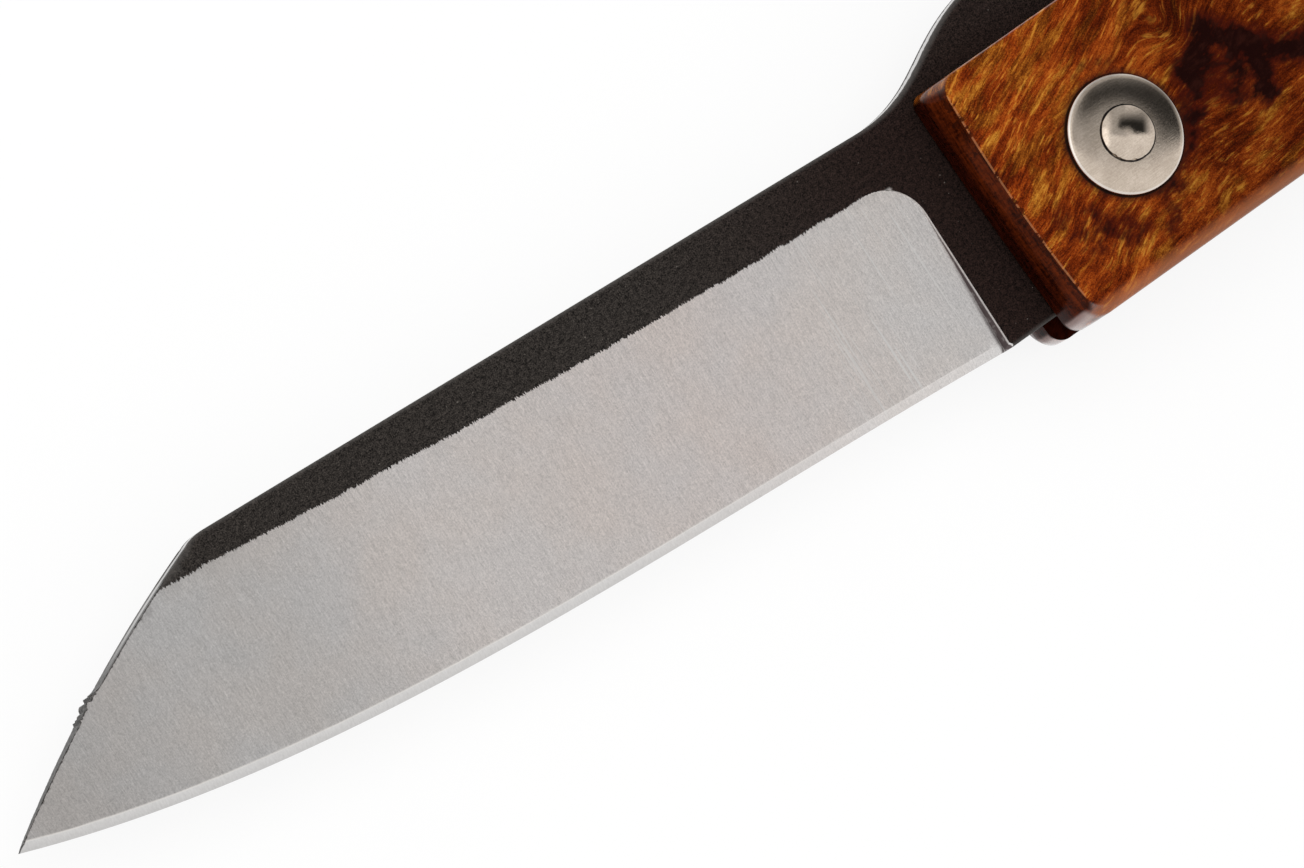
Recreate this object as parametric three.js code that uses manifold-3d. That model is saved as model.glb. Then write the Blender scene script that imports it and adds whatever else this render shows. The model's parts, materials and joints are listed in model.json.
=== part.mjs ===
// Folding pocket knife: a friction folder with two wooden handle scales, a clipped blade
// and a thumb lever that lies over the handle's back. It is modelled open, lying flat.
// Sizes are millimetres. X runs along the handle towards its butt, Y towards the handle's
// back (the side of the spine) and Z out of the front scale. Outlines are drawn about the
// pivot axis, which stands at x = 0, y = 0.

import * as THREE from "three";
import { mergeVertices } from "three/addons/utils/BufferGeometryUtils.js";
import Module from "manifold-3d";

const wasm = await Module();
wasm.setup();

// Blade, seen from the front
const bladeThickness = 2.3;
const bladeReach = 87.3; // pivot axis to tip, along the handle
const tipRise = 3.1; // tip above the pivot axis
const clipRun = 21.1; // clipped front edge, along the handle
const clipBulge = 0.5; // how far the clipped edge bows out
const spineCornerEase = 1.4; // rounding between spine and clipped edge
const spineRiseDegrees = 3.5; // the spine climbs this much towards the tip
const heelReach = 12.9; // pivot axis to the heel of the cutting edge
const ricassoDepth = 7.05; // pivot axis to the underside of ricasso and tang
const heelTangentLength = 26.9;
const heelTangentDegrees = 5.2;
const tipTangentLength = 23.3;
const tipTangentDegrees = 19.9;

// Grind of the blade
const fullBandAtHeel = 3.7; // full thickness under the spine, at the heel
const fullBandAtClip = 2; // the same, at the clipped edge
const grindCornerRadius = 3;
const plungeReach = 12.5; // pivot axis to the top of the plunge wall's foot
const plungeLeanDegrees = 3.3; // the foot leans towards the tip as it goes down
const plungeWallWidth = 0.25; // slope of the plunge wall over its full depth
const edgeHalfThickness = 0.12; // half thickness behind the cutting edge, at the heel
const edgeHalfAngleDegrees = 20.5;
const edgeLand = 0.02; // half width of the very edge

// Thumb lever, the tail of the tang
const leverRestGap = 0.3; // lever to the backspacer that it rests on
const shoulderStart = 13.2; // ahead of the pivot, where the lever leaves the spine
const shoulderEaseIn = 6.6;
const shoulderEaseOut = 8.3;
const shoulderBehind = 2.5; // behind the pivot, where the shoulder is highest
const shoulderHeight = 4.2; // above the handle's back
const thumbDipBehind = 13.5;
const thumbDipHeight = 3.3;
const thumbDipEase = 4.5;
const leverTailBehind = 24.5;
const leverTailHeight = 4.5;
const leverTailTop = 1.6; // end of the tail past its highest point
const leverUndersideEase = 1.5; // sweep of the tail's underside
const neckBehind = 8.3; // back of the lever's neck, behind the pivot
const neckEase = 0.9; // inside rounding between neck and lever
const tangBackDegrees = 35; // where the neck leaves the round tang

// Pivot
const pinRadius = 1.5;
const runningClearance = 0.05; // all round the pins in their holes
const pinHeadRadius = 1.83;
const pinHeadEdge = 0.12;
const pinHeadDome = 0.38;
const domedWasherRadius = 4;
const domedWasherEdge = 0.35;
const domedWasherDome = 0.25;
const domedWasherChamfer = 0.12;
const frictionWasherRadius = 5.5;
const frictionWasherThickness = 0.15;
const frictionGap = 0.05; // each face of a friction washer to its neighbour

// Handle
const scaleThickness = 4;
const frontReach = 9.45; // pivot axis to the handle's front end
const strapDepth = 1.42; // backspacer's strap at its front end
const edgeRoom = 0.4; // folded cutting edge to the backspacer
const tipRoom = 1.5; // folded tip to the backspacer's block
const buttBlockLength = 7.7;
const spineProud = 0.31; // folded spine past the handle's belly
const strapFrontRoom = 1.2; // lever's neck to the backspacer's front end
const frontCrown = 0.15; // how far the front end bows out between its corners
const frontCrownEase = 4.4; // rounding of the bow, each way from its middle
const frontBackRadius = 0.8; // corner of front end and back
const frontBellyRadius = 1.3; // corner of front end and belly
const buttBackRadius = 4.5;
const buttBellyRadius = 6;
const blockCornerRadius = 1.2; // inside corner of the backspacer
const backEdgeRadius = 0.3; // rounding of a scale's outer edge, on the back
const bellyEdgeRadius = 0.8; // the same, on the belly
const buttEdgeRadius = 0.6;
const endBevelDepth = 0.4; // bevel of a scale's front end, along the handle
const endBevelHeight = 1.8; // the same, through the scale's thickness

// Spacer pins
const spacerPinRadius = 1;
const spacerPinChamfer = 0.1;
const middlePinAhead = 10.8; // middle pin ahead of the backspacer's block
const middlePinBelowBack = 2.4;

// Fineness of round shapes
const outlineSteps = 14;
const cornerSteps = 6;
const roundSides = 48;
const pinSides = 32;
const domeSteps = 6;
const past = 20; // how far a cutting shape reaches past what it cuts

// Places that follow from the sizes
const spineRise = THREE.MathUtils.degToRad(spineRiseDegrees);
const foldAngle = Math.PI + spineRise;
const tip = new THREE.Vector2(-bladeReach, tipRise);
const heel = new THREE.Vector2(-heelReach, -ricassoDepth);
const heelControl = heel.clone().add(polar(heelTangentLength, Math.PI, -heelTangentDegrees));
const tipControl = tip.clone().add(polar(tipTangentLength, 0, -tipTangentDegrees));
const kickHeight = folded(heel).y;
const backHeight = kickHeight + edgeRoom + strapDepth;
const foldedSpineDepth = spineHeight(0) * Math.cos(spineRise);
const bellyDepth = foldedSpineDepth - spineProud;
const blockFrontX = bladeReach + tipRoom;
const buttX = blockFrontX + buttBlockLength;
const bladeHalf = bladeThickness / 2;
const slotHalf = bladeHalf + 2 * frictionGap + frictionWasherThickness;
const handleHalf = slotHalf + scaleThickness;
const holeRadius = pinRadius + runningClearance;
const spacerHoleRadius = spacerPinRadius + runningClearance;
const headSeat = handleHalf + domedWasherHeight(holeRadius) + runningClearance;
const pinTop = headSeat + pinHeadEdge + pinHeadDome;
const middlePin = new THREE.Vector2(blockFrontX - middlePinAhead, backHeight - middlePinBelowBack);
const rearPin = new THREE.Vector2(blockFrontX + buttBlockLength / 2, (backHeight - bellyDepth) / 2);
const leverTop = backHeight + leverTailHeight;

// A step of the given length along a base direction turned by some degrees.
function polar(length, base, degrees) {
  const angle = base + THREE.MathUtils.degToRad(degrees);
  return new THREE.Vector2(Math.cos(angle), Math.sin(angle)).multiplyScalar(length);
}

// Where a point of the open blade lies once the blade is folded.
function folded(point) {
  return point.clone().rotateAround(new THREE.Vector2(), foldAngle);
}

// Height of the spine over the pivot axis: it passes through the handle's front corner.
function spineHeight(x) {
  return backHeight - (frontReach + x) * Math.tan(spineRise);
}

// Height of a domed washer's top over its seat, at a distance from its axis.
function domedWasherHeight(radius) {
  return domedWasherEdge + domedWasherDome * (1 - (radius / domedWasherRadius) ** 2);
}

// Line to a corner of an outline and a quarter-like curve round it.
function roundCorner(shape, before, corner, after, radius) {
  const kappa = 0.4477; // control points sit this share of the radius from the corner
  const into = before.clone().sub(corner).normalize();
  const out = after.clone().sub(corner).normalize();
  const start = corner.clone().addScaledVector(into, radius);
  const end = corner.clone().addScaledVector(out, radius);
  const startControl = corner.clone().addScaledVector(into, radius * kappa);
  const endControl = corner.clone().addScaledVector(out, radius * kappa);
  shape.lineTo(start.x, start.y);
  shape.bezierCurveTo(startControl.x, startControl.y, endControl.x, endControl.y, end.x, end.y);
}

// Closed outline through corners given as [x, y, radius].
function roundedOutline(corners) {
  const shape = new THREE.Shape();
  const points = corners.map(([x, y]) => new THREE.Vector2(x, y));
  const count = points.length;
  const last = points[count - 1];
  const middle = last.clone().add(points[0]).multiplyScalar(0.5);
  shape.moveTo(middle.x, middle.y);
  corners.forEach(([, , radius], i) => {
    const before = points[(i + count - 1) % count];
    const after = points[(i + 1) % count];
    if (radius > 0) roundCorner(shape, before, points[i], after, radius);
    else shape.lineTo(points[i].x, points[i].y);
  });
  shape.closePath();
  return shape;
}

// Merge the shared vertices of a closed geometry and leave out triangles with no area.
function sewn(geometry) {
  const bare = geometry.clone();
  bare.deleteAttribute("normal");
  bare.deleteAttribute("uv");
  const merged = mergeVertices(bare, 1e-5);
  const kept = [];
  const index = merged.index.array;
  for (let i = 0; i < index.length; i += 3) {
    const [a, b, c] = [index[i], index[i + 1], index[i + 2]];
    if (a !== b && b !== c && c !== a) kept.push(a, b, c);
  }
  merged.setIndex(kept);
  return merged;
}

// Turn a closed geometry into a solid that can be cut and joined.
function solidOf(geometry) {
  const merged = sewn(geometry);
  return new wasm.Manifold(new wasm.Mesh({
    numProp: 3,
    vertProperties: new Float32Array(merged.attributes.position.array),
    triVerts: new Uint32Array(merged.index.array),
  }));
}

// Turn a solid back into a geometry.
function geometryOf(solid) {
  const mesh = solid.getMesh();
  const geometry = new THREE.BufferGeometry();
  geometry.setAttribute("position", new THREE.BufferAttribute(mesh.vertProperties, 3));
  geometry.setIndex(new THREE.BufferAttribute(mesh.triVerts, 1));
  geometry.computeVertexNormals();
  return geometry;
}

// Extrude an outline along Z between two heights.
function slab(shape, low, high, steps = outlineSteps) {
  const options = { depth: high - low, bevelEnabled: false, curveSegments: steps };
  return new THREE.ExtrudeGeometry(shape, options).translate(0, 0, low);
}

// Round bar along Z at a place, as wide as a hole or a pin.
function roundBar(radius, place, half, sides) {
  const bar = new THREE.CylinderGeometry(radius, radius, 2 * half, sides);
  return bar.rotateX(Math.PI / 2).translate(place.x, place.y, 0);
}

// Spin a closed profile of [radius, height] points about Z.
function turned(profile, sides) {
  const points = profile.map(([radius, height]) => new THREE.Vector2(radius, height));
  return sewn(new THREE.LatheGeometry(points, sides).rotateX(Math.PI / 2));
}

// The same geometry on the other side of the middle plane, z = 0.
function mirrored(geometry) {
  const other = sewn(geometry);
  other.scale(1, 1, -1);
  const index = Array.from(other.index.array);
  for (let i = 0; i < index.length; i += 3) {
    [index[i], index[i + 1]] = [index[i + 1], index[i]];
  }
  other.setIndex(index);
  other.computeVertexNormals();
  return other;
}

// Outline of the forging: clipped edge, spine, lever, round tang, ricasso and cutting edge.
function bladeOutline() {
  const corner = new THREE.Vector2(-bladeReach + clipRun, spineHeight(-bladeReach + clipRun));
  const chord = corner.clone().sub(tip);
  const outward = new THREE.Vector2(-chord.y, chord.x).normalize();
  const bow = tip.clone().add(corner).multiplyScalar(0.5).addScaledVector(outward, 2 * clipBulge);
  const cornerIn = corner.clone().addScaledVector(chord.normalize(), -spineCornerEase);
  const spineX = corner.x + spineCornerEase;
  const restY = backHeight + leverRestGap;
  const tailX = leverTailBehind + leverTailTop;
  const tang = polar(ricassoDepth, 0, tangBackDegrees);
  const shape = new THREE.Shape();
  shape.moveTo(tip.x, tip.y);
  shape.quadraticCurveTo(bow.x, bow.y, cornerIn.x, cornerIn.y);
  shape.quadraticCurveTo(corner.x, corner.y, spineX, spineHeight(spineX));
  shape.lineTo(-shoulderStart, spineHeight(-shoulderStart));
  shape.bezierCurveTo(
    -shoulderStart + shoulderEaseIn, spineHeight(-shoulderStart + shoulderEaseIn),
    shoulderBehind - shoulderEaseOut, backHeight + shoulderHeight,
    shoulderBehind, backHeight + shoulderHeight,
  );
  shape.bezierCurveTo(
    shoulderBehind + thumbDipEase, backHeight + shoulderHeight,
    thumbDipBehind - thumbDipEase, backHeight + thumbDipHeight,
    thumbDipBehind, backHeight + thumbDipHeight,
  );
  shape.bezierCurveTo(
    thumbDipBehind + thumbDipEase, backHeight + thumbDipHeight,
    leverTailBehind - thumbDipEase, leverTop,
    leverTailBehind, leverTop,
  );
  shape.quadraticCurveTo(tailX, leverTop, tailX, leverTop - leverTailTop);
  shape.bezierCurveTo(
    tailX, restY + leverUndersideEase,
    tailX - leverUndersideEase, restY,
    thumbDipBehind, restY,
  );
  roundCorner(
    shape,
    new THREE.Vector2(thumbDipBehind, restY),
    new THREE.Vector2(neckBehind, restY),
    tang,
    neckEase,
  );
  shape.lineTo(tang.x, tang.y);
  shape.absarc(0, 0, ricassoDepth, THREE.MathUtils.degToRad(tangBackDegrees), -Math.PI / 2, true);
  shape.lineTo(heel.x, heel.y);
  shape.bezierCurveTo(heelControl.x, heelControl.y, tipControl.x, tipControl.y, tip.x, tip.y);
  return shape;
}

// Line where the grind starts: y for a place along the blade.
function grindTop(x) {
  const clipX = -bladeReach + clipRun;
  const atHeel = spineHeight(-plungeReach) - fullBandAtHeel;
  const atClip = spineHeight(clipX) - fullBandAtClip;
  return atHeel + ((x + plungeReach) / (clipX + plungeReach)) * (atClip - atHeel);
}

// Foot of the plunge wall: x for a height, leaning towards the tip as it goes down.
function plungeFoot(y) {
  const lean = Math.tan(THREE.MathUtils.degToRad(plungeLeanDegrees));
  return -plungeReach - lean * (grindTop(-plungeReach) - y);
}

// Body that takes the main grind off the front face. Its floor is the ground plane, and
// its sides open outwards, which makes the plunge wall.
function grindCutter() {
  const startY = grindTop(-plungeReach);
  const slope = (grindTop(-bladeReach) - startY) / (plungeReach - bladeReach);
  const depth = bladeHalf - edgeHalfThickness;
  const drop = depth / (startY + ricassoDepth);
  const footY = -ricassoDepth - past;
  const farX = -bladeReach - past;
  const outline = roundedOutline([
    [plungeFoot(footY), footY, 0],
    [-plungeReach, startY, grindCornerRadius],
    [farX, grindTop(farX), 0],
    [farX, footY, 0],
  ]);
  const body = new THREE.ExtrudeGeometry(outline, {
    depth: bladeThickness,
    curveSegments: outlineSteps,
    bevelEnabled: true,
    bevelSegments: 1,
    bevelThickness: depth,
    bevelSize: plungeWallWidth,
    bevelOffset: 0,
  });
  body.translate(0, 0, depth);
  const level = bladeHalf - drop * (startY + slope * plungeReach);
  const tilt = new THREE.Matrix4().set(1, 0, 0, 0, 0, 1, 0, 0, -drop * slope, drop, 1, level, 0, 0, 0, 1);
  return body.applyMatrix4(tilt);
}

// Body that the blade is trimmed to, so that both faces meet at the cutting edge.
function edgeEnvelope() {
  const rise = bladeHalf - edgeLand;
  const width = rise / Math.tan(THREE.MathUtils.degToRad(edgeHalfAngleDegrees));
  const tipDirection = tip.clone().sub(tipControl).normalize();
  const ahead = tip.clone().addScaledVector(tipDirection, past);
  const shape = new THREE.Shape();
  shape.moveTo(ahead.x, ahead.y);
  shape.lineTo(ahead.x, backHeight + past);
  shape.lineTo(0, backHeight + past);
  shape.lineTo(0, heel.y);
  shape.lineTo(heel.x, heel.y);
  shape.bezierCurveTo(heelControl.x, heelControl.y, tipControl.x, tipControl.y, tip.x, tip.y);
  shape.closePath();
  const body = new THREE.ExtrudeGeometry(shape, {
    depth: 2 * edgeLand,
    curveSegments: outlineSteps,
    bevelEnabled: true,
    bevelSegments: 1,
    bevelThickness: rise,
    bevelSize: width,
    bevelOffset: -width,
  });
  return body.translate(0, 0, -edgeLand);
}

function bladeGeometry() {
  const blank = solidOf(slab(bladeOutline(), -bladeHalf, bladeHalf));
  const reach = past + bladeReach;
  const tangSide = new THREE.BoxGeometry(reach, reach, reach);
  tangSide.translate(reach / 2 + plungeFoot(-ricassoDepth), 0, 0);
  const envelope = solidOf(edgeEnvelope()).add(solidOf(tangSide));
  const cutter = grindCutter();
  const bore = roundBar(holeRadius, new THREE.Vector2(), handleHalf, roundSides);
  const ground = blank.intersect(envelope).subtract(solidOf(cutter)).subtract(solidOf(mirrored(cutter)));
  return geometryOf(ground.subtract(solidOf(bore)));
}

// One scale: its plan, its cross-section and its side view, intersected, less the pin holes.
function frontScaleGeometry() {
  const crownY = (backHeight - bellyDepth) / 2;
  const plan = roundedOutline([
    [-frontReach + frontCrown, -bellyDepth, frontBellyRadius],
    [buttX, -bellyDepth, buttBellyRadius],
    [buttX, backHeight, buttBackRadius],
    [-frontReach + frontCrown, backHeight, frontBackRadius],
    [-frontReach, crownY, frontCrownEase],
  ]);
  const section = roundedOutline([
    [-bellyDepth, slotHalf, 0],
    [backHeight, slotHalf, 0],
    [backHeight, handleHalf, backEdgeRadius],
    [-bellyDepth, handleHalf, bellyEdgeRadius],
  ]);
  const side = roundedOutline([
    [-frontReach, slotHalf, 0],
    [buttX, slotHalf, 0],
    [buttX, handleHalf, buttEdgeRadius],
    [-frontReach + endBevelDepth, handleHalf, 0],
    [-frontReach, handleHalf - endBevelHeight, 0],
  ]);
  const along = new THREE.Matrix4().set(0, 0, 1, 0, 1, 0, 0, 0, 0, 1, 0, 0, 0, 0, 0, 1);
  const across = new THREE.Matrix4().set(1, 0, 0, 0, 0, 0, -1, 0, 0, 1, 0, 0, 0, 0, 0, 1);
  const planBody = slab(plan, slotHalf - past, handleHalf + past, outlineSteps);
  const sectionBody = slab(section, -frontReach - past, buttX + past, cornerSteps).applyMatrix4(along);
  const sideBody = slab(side, -past, past, cornerSteps).applyMatrix4(across);
  const holes = [
    roundBar(holeRadius, new THREE.Vector2(), handleHalf + past, roundSides),
    roundBar(spacerHoleRadius, middlePin, handleHalf + past, pinSides),
    roundBar(spacerHoleRadius, rearPin, handleHalf + past, pinSides),
  ];
  const body = solidOf(planBody).intersect(solidOf(sectionBody)).intersect(solidOf(sideBody));
  return geometryOf(holes.reduce((rest, hole) => rest.subtract(solidOf(hole)), body));
}

// Strap and block between the scales. The strap's underside follows the folded cutting edge.
function backspacerGeometry() {
  const frontX = neckBehind + strapFrontRoom;
  const clear = (point) => folded(point).add(new THREE.Vector2(0, edgeRoom));
  const heelPlace = clear(heel);
  const heelSide = clear(heelControl);
  const tipSide = clear(tipControl);
  const tipPlace = clear(tip);
  const blockTop = new THREE.Vector2(blockFrontX, tipPlace.y);
  const blockFoot = new THREE.Vector2(blockFrontX, -bellyDepth);
  const buttFoot = new THREE.Vector2(buttX, -bellyDepth);
  const buttTop = new THREE.Vector2(buttX, backHeight);
  const frontTop = new THREE.Vector2(frontX, backHeight);
  const shape = new THREE.Shape();
  shape.moveTo(frontX, heelPlace.y);
  shape.lineTo(heelPlace.x, heelPlace.y);
  shape.bezierCurveTo(heelSide.x, heelSide.y, tipSide.x, tipSide.y, tipPlace.x, tipPlace.y);
  roundCorner(shape, tipPlace, blockTop, blockFoot, Math.min(blockCornerRadius, tipRoom));
  shape.lineTo(blockFoot.x, blockFoot.y);
  roundCorner(shape, blockFoot, buttFoot, buttTop, buttBellyRadius);
  roundCorner(shape, buttFoot, buttTop, frontTop, buttBackRadius);
  shape.lineTo(frontTop.x, frontTop.y);
  shape.closePath();
  const body = solidOf(slab(shape, -slotHalf, slotHalf));
  const middleHole = roundBar(spacerHoleRadius, middlePin, handleHalf, pinSides);
  const rearHole = roundBar(spacerHoleRadius, rearPin, handleHalf, pinSides);
  return geometryOf(body.subtract(solidOf(middleHole)).subtract(solidOf(rearHole)));
}

// Peened pivot: a straight shaft with a domed head on each end.
function pivotPinGeometry() {
  const head = [];
  for (let i = 0; i <= domeSteps; i += 1) {
    const share = 1 - i / domeSteps;
    const height = headSeat + pinHeadEdge + pinHeadDome * (1 - share * share);
    head.push([pinHeadRadius * share, height]);
  }
  const upper = [[pinRadius, headSeat], [pinHeadRadius, headSeat], ...head];
  const lower = upper.map(([radius, height]) => [radius, -height]).reverse();
  return turned([...lower, ...upper], roundSides);
}

// Domed washer between the front scale and the pivot's head.
function domedWasherGeometry() {
  const rim = domedWasherRadius - domedWasherChamfer;
  const dome = [];
  for (let i = 0; i <= domeSteps; i += 1) {
    const radius = rim + (i / domeSteps) * (holeRadius - rim);
    dome.push([radius, handleHalf + domedWasherHeight(radius)]);
  }
  const foot = [
    [holeRadius, handleHalf],
    [domedWasherRadius, handleHalf],
    [domedWasherRadius, handleHalf + domedWasherEdge - domedWasherChamfer],
  ];
  return turned([...foot, ...dome, foot[0]], roundSides);
}

// Thin ring between the tang and the front scale.
function frictionWasherGeometry() {
  const low = bladeHalf + frictionGap;
  const high = low + frictionWasherThickness;
  const ring = [
    [holeRadius, low],
    [frictionWasherRadius, low],
    [frictionWasherRadius, high],
    [holeRadius, high],
    [holeRadius, low],
  ];
  return turned(ring, roundSides);
}

// Flush rivet through both scales and the backspacer.
function spacerPinGeometry() {
  const face = spacerPinRadius - spacerPinChamfer;
  const shoulder = handleHalf - spacerPinChamfer;
  const profile = [
    [0, -handleHalf],
    [face, -handleHalf],
    [spacerPinRadius, -shoulder],
    [spacerPinRadius, shoulder],
    [face, handleHalf],
    [0, handleHalf],
  ];
  return turned(profile, pinSides);
}

// Materials: one of its own for each piece, from a few finishes
const finishes = {
  forgedSteel: { color: 0x8c8883, roughness: 0.45, metalness: 0.9 },
  figuredWood: { color: 0x87481a, roughness: 0.3, metalness: 0 },
  polishedNickel: { color: 0xc9c2b6, roughness: 0.22, metalness: 1 },
  bronze: { color: 0xa9793f, roughness: 0.4, metalness: 1 },
  brushedSteel: { color: 0x9b9994, roughness: 0.4, metalness: 1 },
};

function piece(name, geometry, finish) {
  const mesh = new THREE.Mesh(geometry, new THREE.MeshStandardMaterial(finish));
  mesh.name = name;
  return mesh;
}

// The knife, set down with the middle of its box over the origin
const frontScale = frontScaleGeometry();
const domedWasher = domedWasherGeometry();
const frictionWasher = frictionWasherGeometry();
const middleSpacerPin = piece("middle_spacer_pin", spacerPinGeometry(), finishes.polishedNickel);
const rearSpacerPin = piece("rear_spacer_pin", spacerPinGeometry(), finishes.polishedNickel);
middleSpacerPin.position.set(middlePin.x, middlePin.y, 0);
rearSpacerPin.position.set(rearPin.x, rearPin.y, 0);

const knife = new THREE.Group();
knife.add(
  piece("blade", bladeGeometry(), finishes.forgedSteel),
  piece("front_scale", frontScale, finishes.figuredWood),
  piece("back_scale", mirrored(frontScale), finishes.figuredWood),
  piece("backspacer", backspacerGeometry(), finishes.brushedSteel),
  piece("pivot_pin", pivotPinGeometry(), finishes.polishedNickel),
  piece("front_domed_washer", domedWasher, finishes.polishedNickel),
  piece("back_domed_washer", mirrored(domedWasher), finishes.polishedNickel),
  piece("front_friction_washer", frictionWasher, finishes.bronze),
  piece("back_friction_washer", mirrored(frictionWasher), finishes.bronze),
  middleSpacerPin,
  rearSpacerPin,
);
knife.position.set((bladeReach - buttX) / 2, (bellyDepth - leverTop) / 2, pinTop);

export default knife;
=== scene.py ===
"""Folding pocket knife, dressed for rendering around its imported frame.

The knife lies open on a pale table. Sizes are millimetres in the knife's own drawing
frame: X runs towards the butt, Y towards the handle's back, Z out of the front scale. The
pivot axis stands at x = 0, y = 0, and z = 0 is the middle plane. Datum turns places of the
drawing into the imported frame's metres.
"""

import json
import logging
import math
from dataclasses import dataclass, field
from enum import Enum
from functools import cached_property, partial
from typing import Callable, Optional, Sequence, Union

import bmesh
import bpy
import numpy as np
from mathutils import Matrix, Vector, geometry


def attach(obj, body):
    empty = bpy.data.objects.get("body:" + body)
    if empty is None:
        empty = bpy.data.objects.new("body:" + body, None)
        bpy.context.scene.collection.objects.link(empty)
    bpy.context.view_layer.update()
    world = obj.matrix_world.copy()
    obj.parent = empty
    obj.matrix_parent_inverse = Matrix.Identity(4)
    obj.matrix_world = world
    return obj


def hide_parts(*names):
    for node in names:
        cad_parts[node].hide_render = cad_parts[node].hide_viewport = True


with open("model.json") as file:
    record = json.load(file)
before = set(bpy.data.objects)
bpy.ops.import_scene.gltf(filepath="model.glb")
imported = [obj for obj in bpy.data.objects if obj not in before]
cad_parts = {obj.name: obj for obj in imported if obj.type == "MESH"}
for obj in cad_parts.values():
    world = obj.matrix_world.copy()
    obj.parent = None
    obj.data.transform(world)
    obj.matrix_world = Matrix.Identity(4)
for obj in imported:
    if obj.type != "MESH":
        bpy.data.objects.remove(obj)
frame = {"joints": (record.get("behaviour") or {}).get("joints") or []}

MM = 0.001
SAME_PLACE = 1e-4
LOG = logging.getLogger("knife")

Rows = np.ndarray
Point = tuple[float, float]
Triple = tuple[float, float, float]
Colour = tuple[float, float, float]
Pair = tuple[Colour, Colour]
Stops = Sequence[tuple[float, Colour]]
Rule = Callable[[Rows], Rows]
Number = Union["Value", float]


class Body(Enum):
    """The two bodies that move against each other."""

    HANDLE = "handle"
    BLADE = "blade"


class Slot(Enum):
    """The record's material slots."""

    BLADE = "blade_steel"
    SCALE = "scale_wood"
    PIVOT = "pivot_metal"
    SPACER = "spacer_steel"
    PIN = "pin_metal"
    BRONZE = "bronze"


class Face(Enum):
    """The side of the knife that a piece lies on, as the sign of its Z."""

    FRONT = 1
    BACK = -1

    @property
    def side(self) -> str:
        """The side's name, as pieces and CAD nodes bear it."""
        return self.name.lower()


class Zone(Enum):
    """Stretches of the forging's outline."""

    CLIP = 0
    SPINE = 1
    LEVER = 2
    TANG = 3
    EDGE = 4


STOCK_ZONES = (Zone.SPINE, Zone.LEVER, Zone.TANG)


@dataclass(frozen=True)
class Datum:
    """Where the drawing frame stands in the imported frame.

    Attributes:
        pivot: Pivot axis in the middle plane, in metres.
    """

    pivot: Vector

    def place(self, points: Rows) -> Rows:
        """Turn rows of x, y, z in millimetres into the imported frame's metres."""
        return points * MM + np.array(self.pivot)


@dataclass(frozen=True)
class Sizes:
    """Sizes that several pieces share. Those of the handle are counted from the pivot axis.

    Attributes:
        front_bevel_height: Outer face to the foot of the front end's bevel.
        running_clearance: Room round the pin, round the rivets and under the pin's heads.
        washer_dome: How much higher a washer stands in its middle than at its rim.
        friction_gap: Room on each face of a friction washer.
    """

    front_reach: float = 9.45
    back_height: float = 9.6439
    belly_depth: float = 8.7395
    front_bevel_height: float = 1.8
    butt_back_radius: float = 4.5
    butt_belly_radius: float = 6.0
    middle_pin: Point = (78.0, 7.2439)
    rear_pin: Point = (92.65, 0.4522)
    honed_width: float = 0.62
    pin_radius: float = 1.5
    running_clearance: float = 0.05
    head_radius: float = 1.83
    head_edge: float = 0.12
    head_dome: float = 0.38
    washer_radius: float = 4.0
    washer_edge: float = 0.35
    washer_dome: float = 0.25
    washer_rim: float = 0.14
    friction_radius: float = 5.5
    friction_thickness: float = 0.15
    friction_gap: float = 0.05
    blade_thickness: float = 2.3
    scale_thickness: float = 4.0
    rivet_radius: float = 1.0
    rivet_chamfer: float = 0.1
    bore_sides: int = 64
    rivet_bore_sides: int = 48

    @property
    def stock_half(self) -> float:
        """Half the blade stock."""
        return self.blade_thickness / 2

    @property
    def hole_radius(self) -> float:
        """Radius of the pivot's bores."""
        return self.pin_radius + self.running_clearance

    @property
    def slot_half(self) -> float:
        """Middle plane to a scale's inner face."""
        return self.stock_half + 2 * self.friction_gap + self.friction_thickness

    @property
    def handle_half(self) -> float:
        """Middle plane to a scale's outer face."""
        return self.slot_half + self.scale_thickness

    @property
    def head_seat(self) -> float:
        """Middle plane to the underside of the pin's head, over a washer of even curve."""
        fall = 1 - (self.hole_radius / self.washer_radius) ** 2
        return self.handle_half + self.washer_edge + self.washer_dome * fall + self.running_clearance

    def pivot_bore(self) -> Rows:
        """Loop of the pivot's bore."""
        return circle((0.0, 0.0), self.hole_radius, self.bore_sides)

    def rivet_bores(self) -> list[Rows]:
        """Loops of the two rivets' bores."""
        radius = self.rivet_radius + self.running_clearance
        return [circle(pin, radius, self.rivet_bore_sides) for pin in (self.middle_pin, self.rear_pin)]


def smooth(values: Rows, low: float, high: float) -> Rows:
    """Rise softly from 0 to 1 while values go from low to high."""
    share = np.clip((values - low) / (high - low), 0.0, 1.0)
    return share * share * (3.0 - 2.0 * share)


def polar(length: float, degrees: float) -> Rows:
    """Step of a length in a direction, counted from +X towards +Y."""
    angle = math.radians(degrees)
    return length * np.array([math.cos(angle), math.sin(angle)])


def circle(centre: Point, radius: float, sides: int) -> Rows:
    """Places round a circle, counterclockwise."""
    angles = np.arange(sides) * math.tau / sides
    return np.array(centre) + radius * np.column_stack([np.cos(angles), np.sin(angles)])


def closed(loop: Rows) -> Rows:
    """A loop as a line that ends where it starts."""
    return np.vstack([loop, loop[:1]])


def right_hand(line: Rows) -> Rows:
    """Unit steps to the right of a line's run, which is inwards on a clockwise outline.

    Args:
        line: Rows of x, y along the line.

    Returns:
        One step for each place.
    """
    ahead = np.gradient(line, axis=0)
    ahead /= np.maximum(np.linalg.norm(ahead, axis=1)[:, None], 1e-9)
    return np.column_stack([ahead[:, 1], -ahead[:, 0]])


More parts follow.
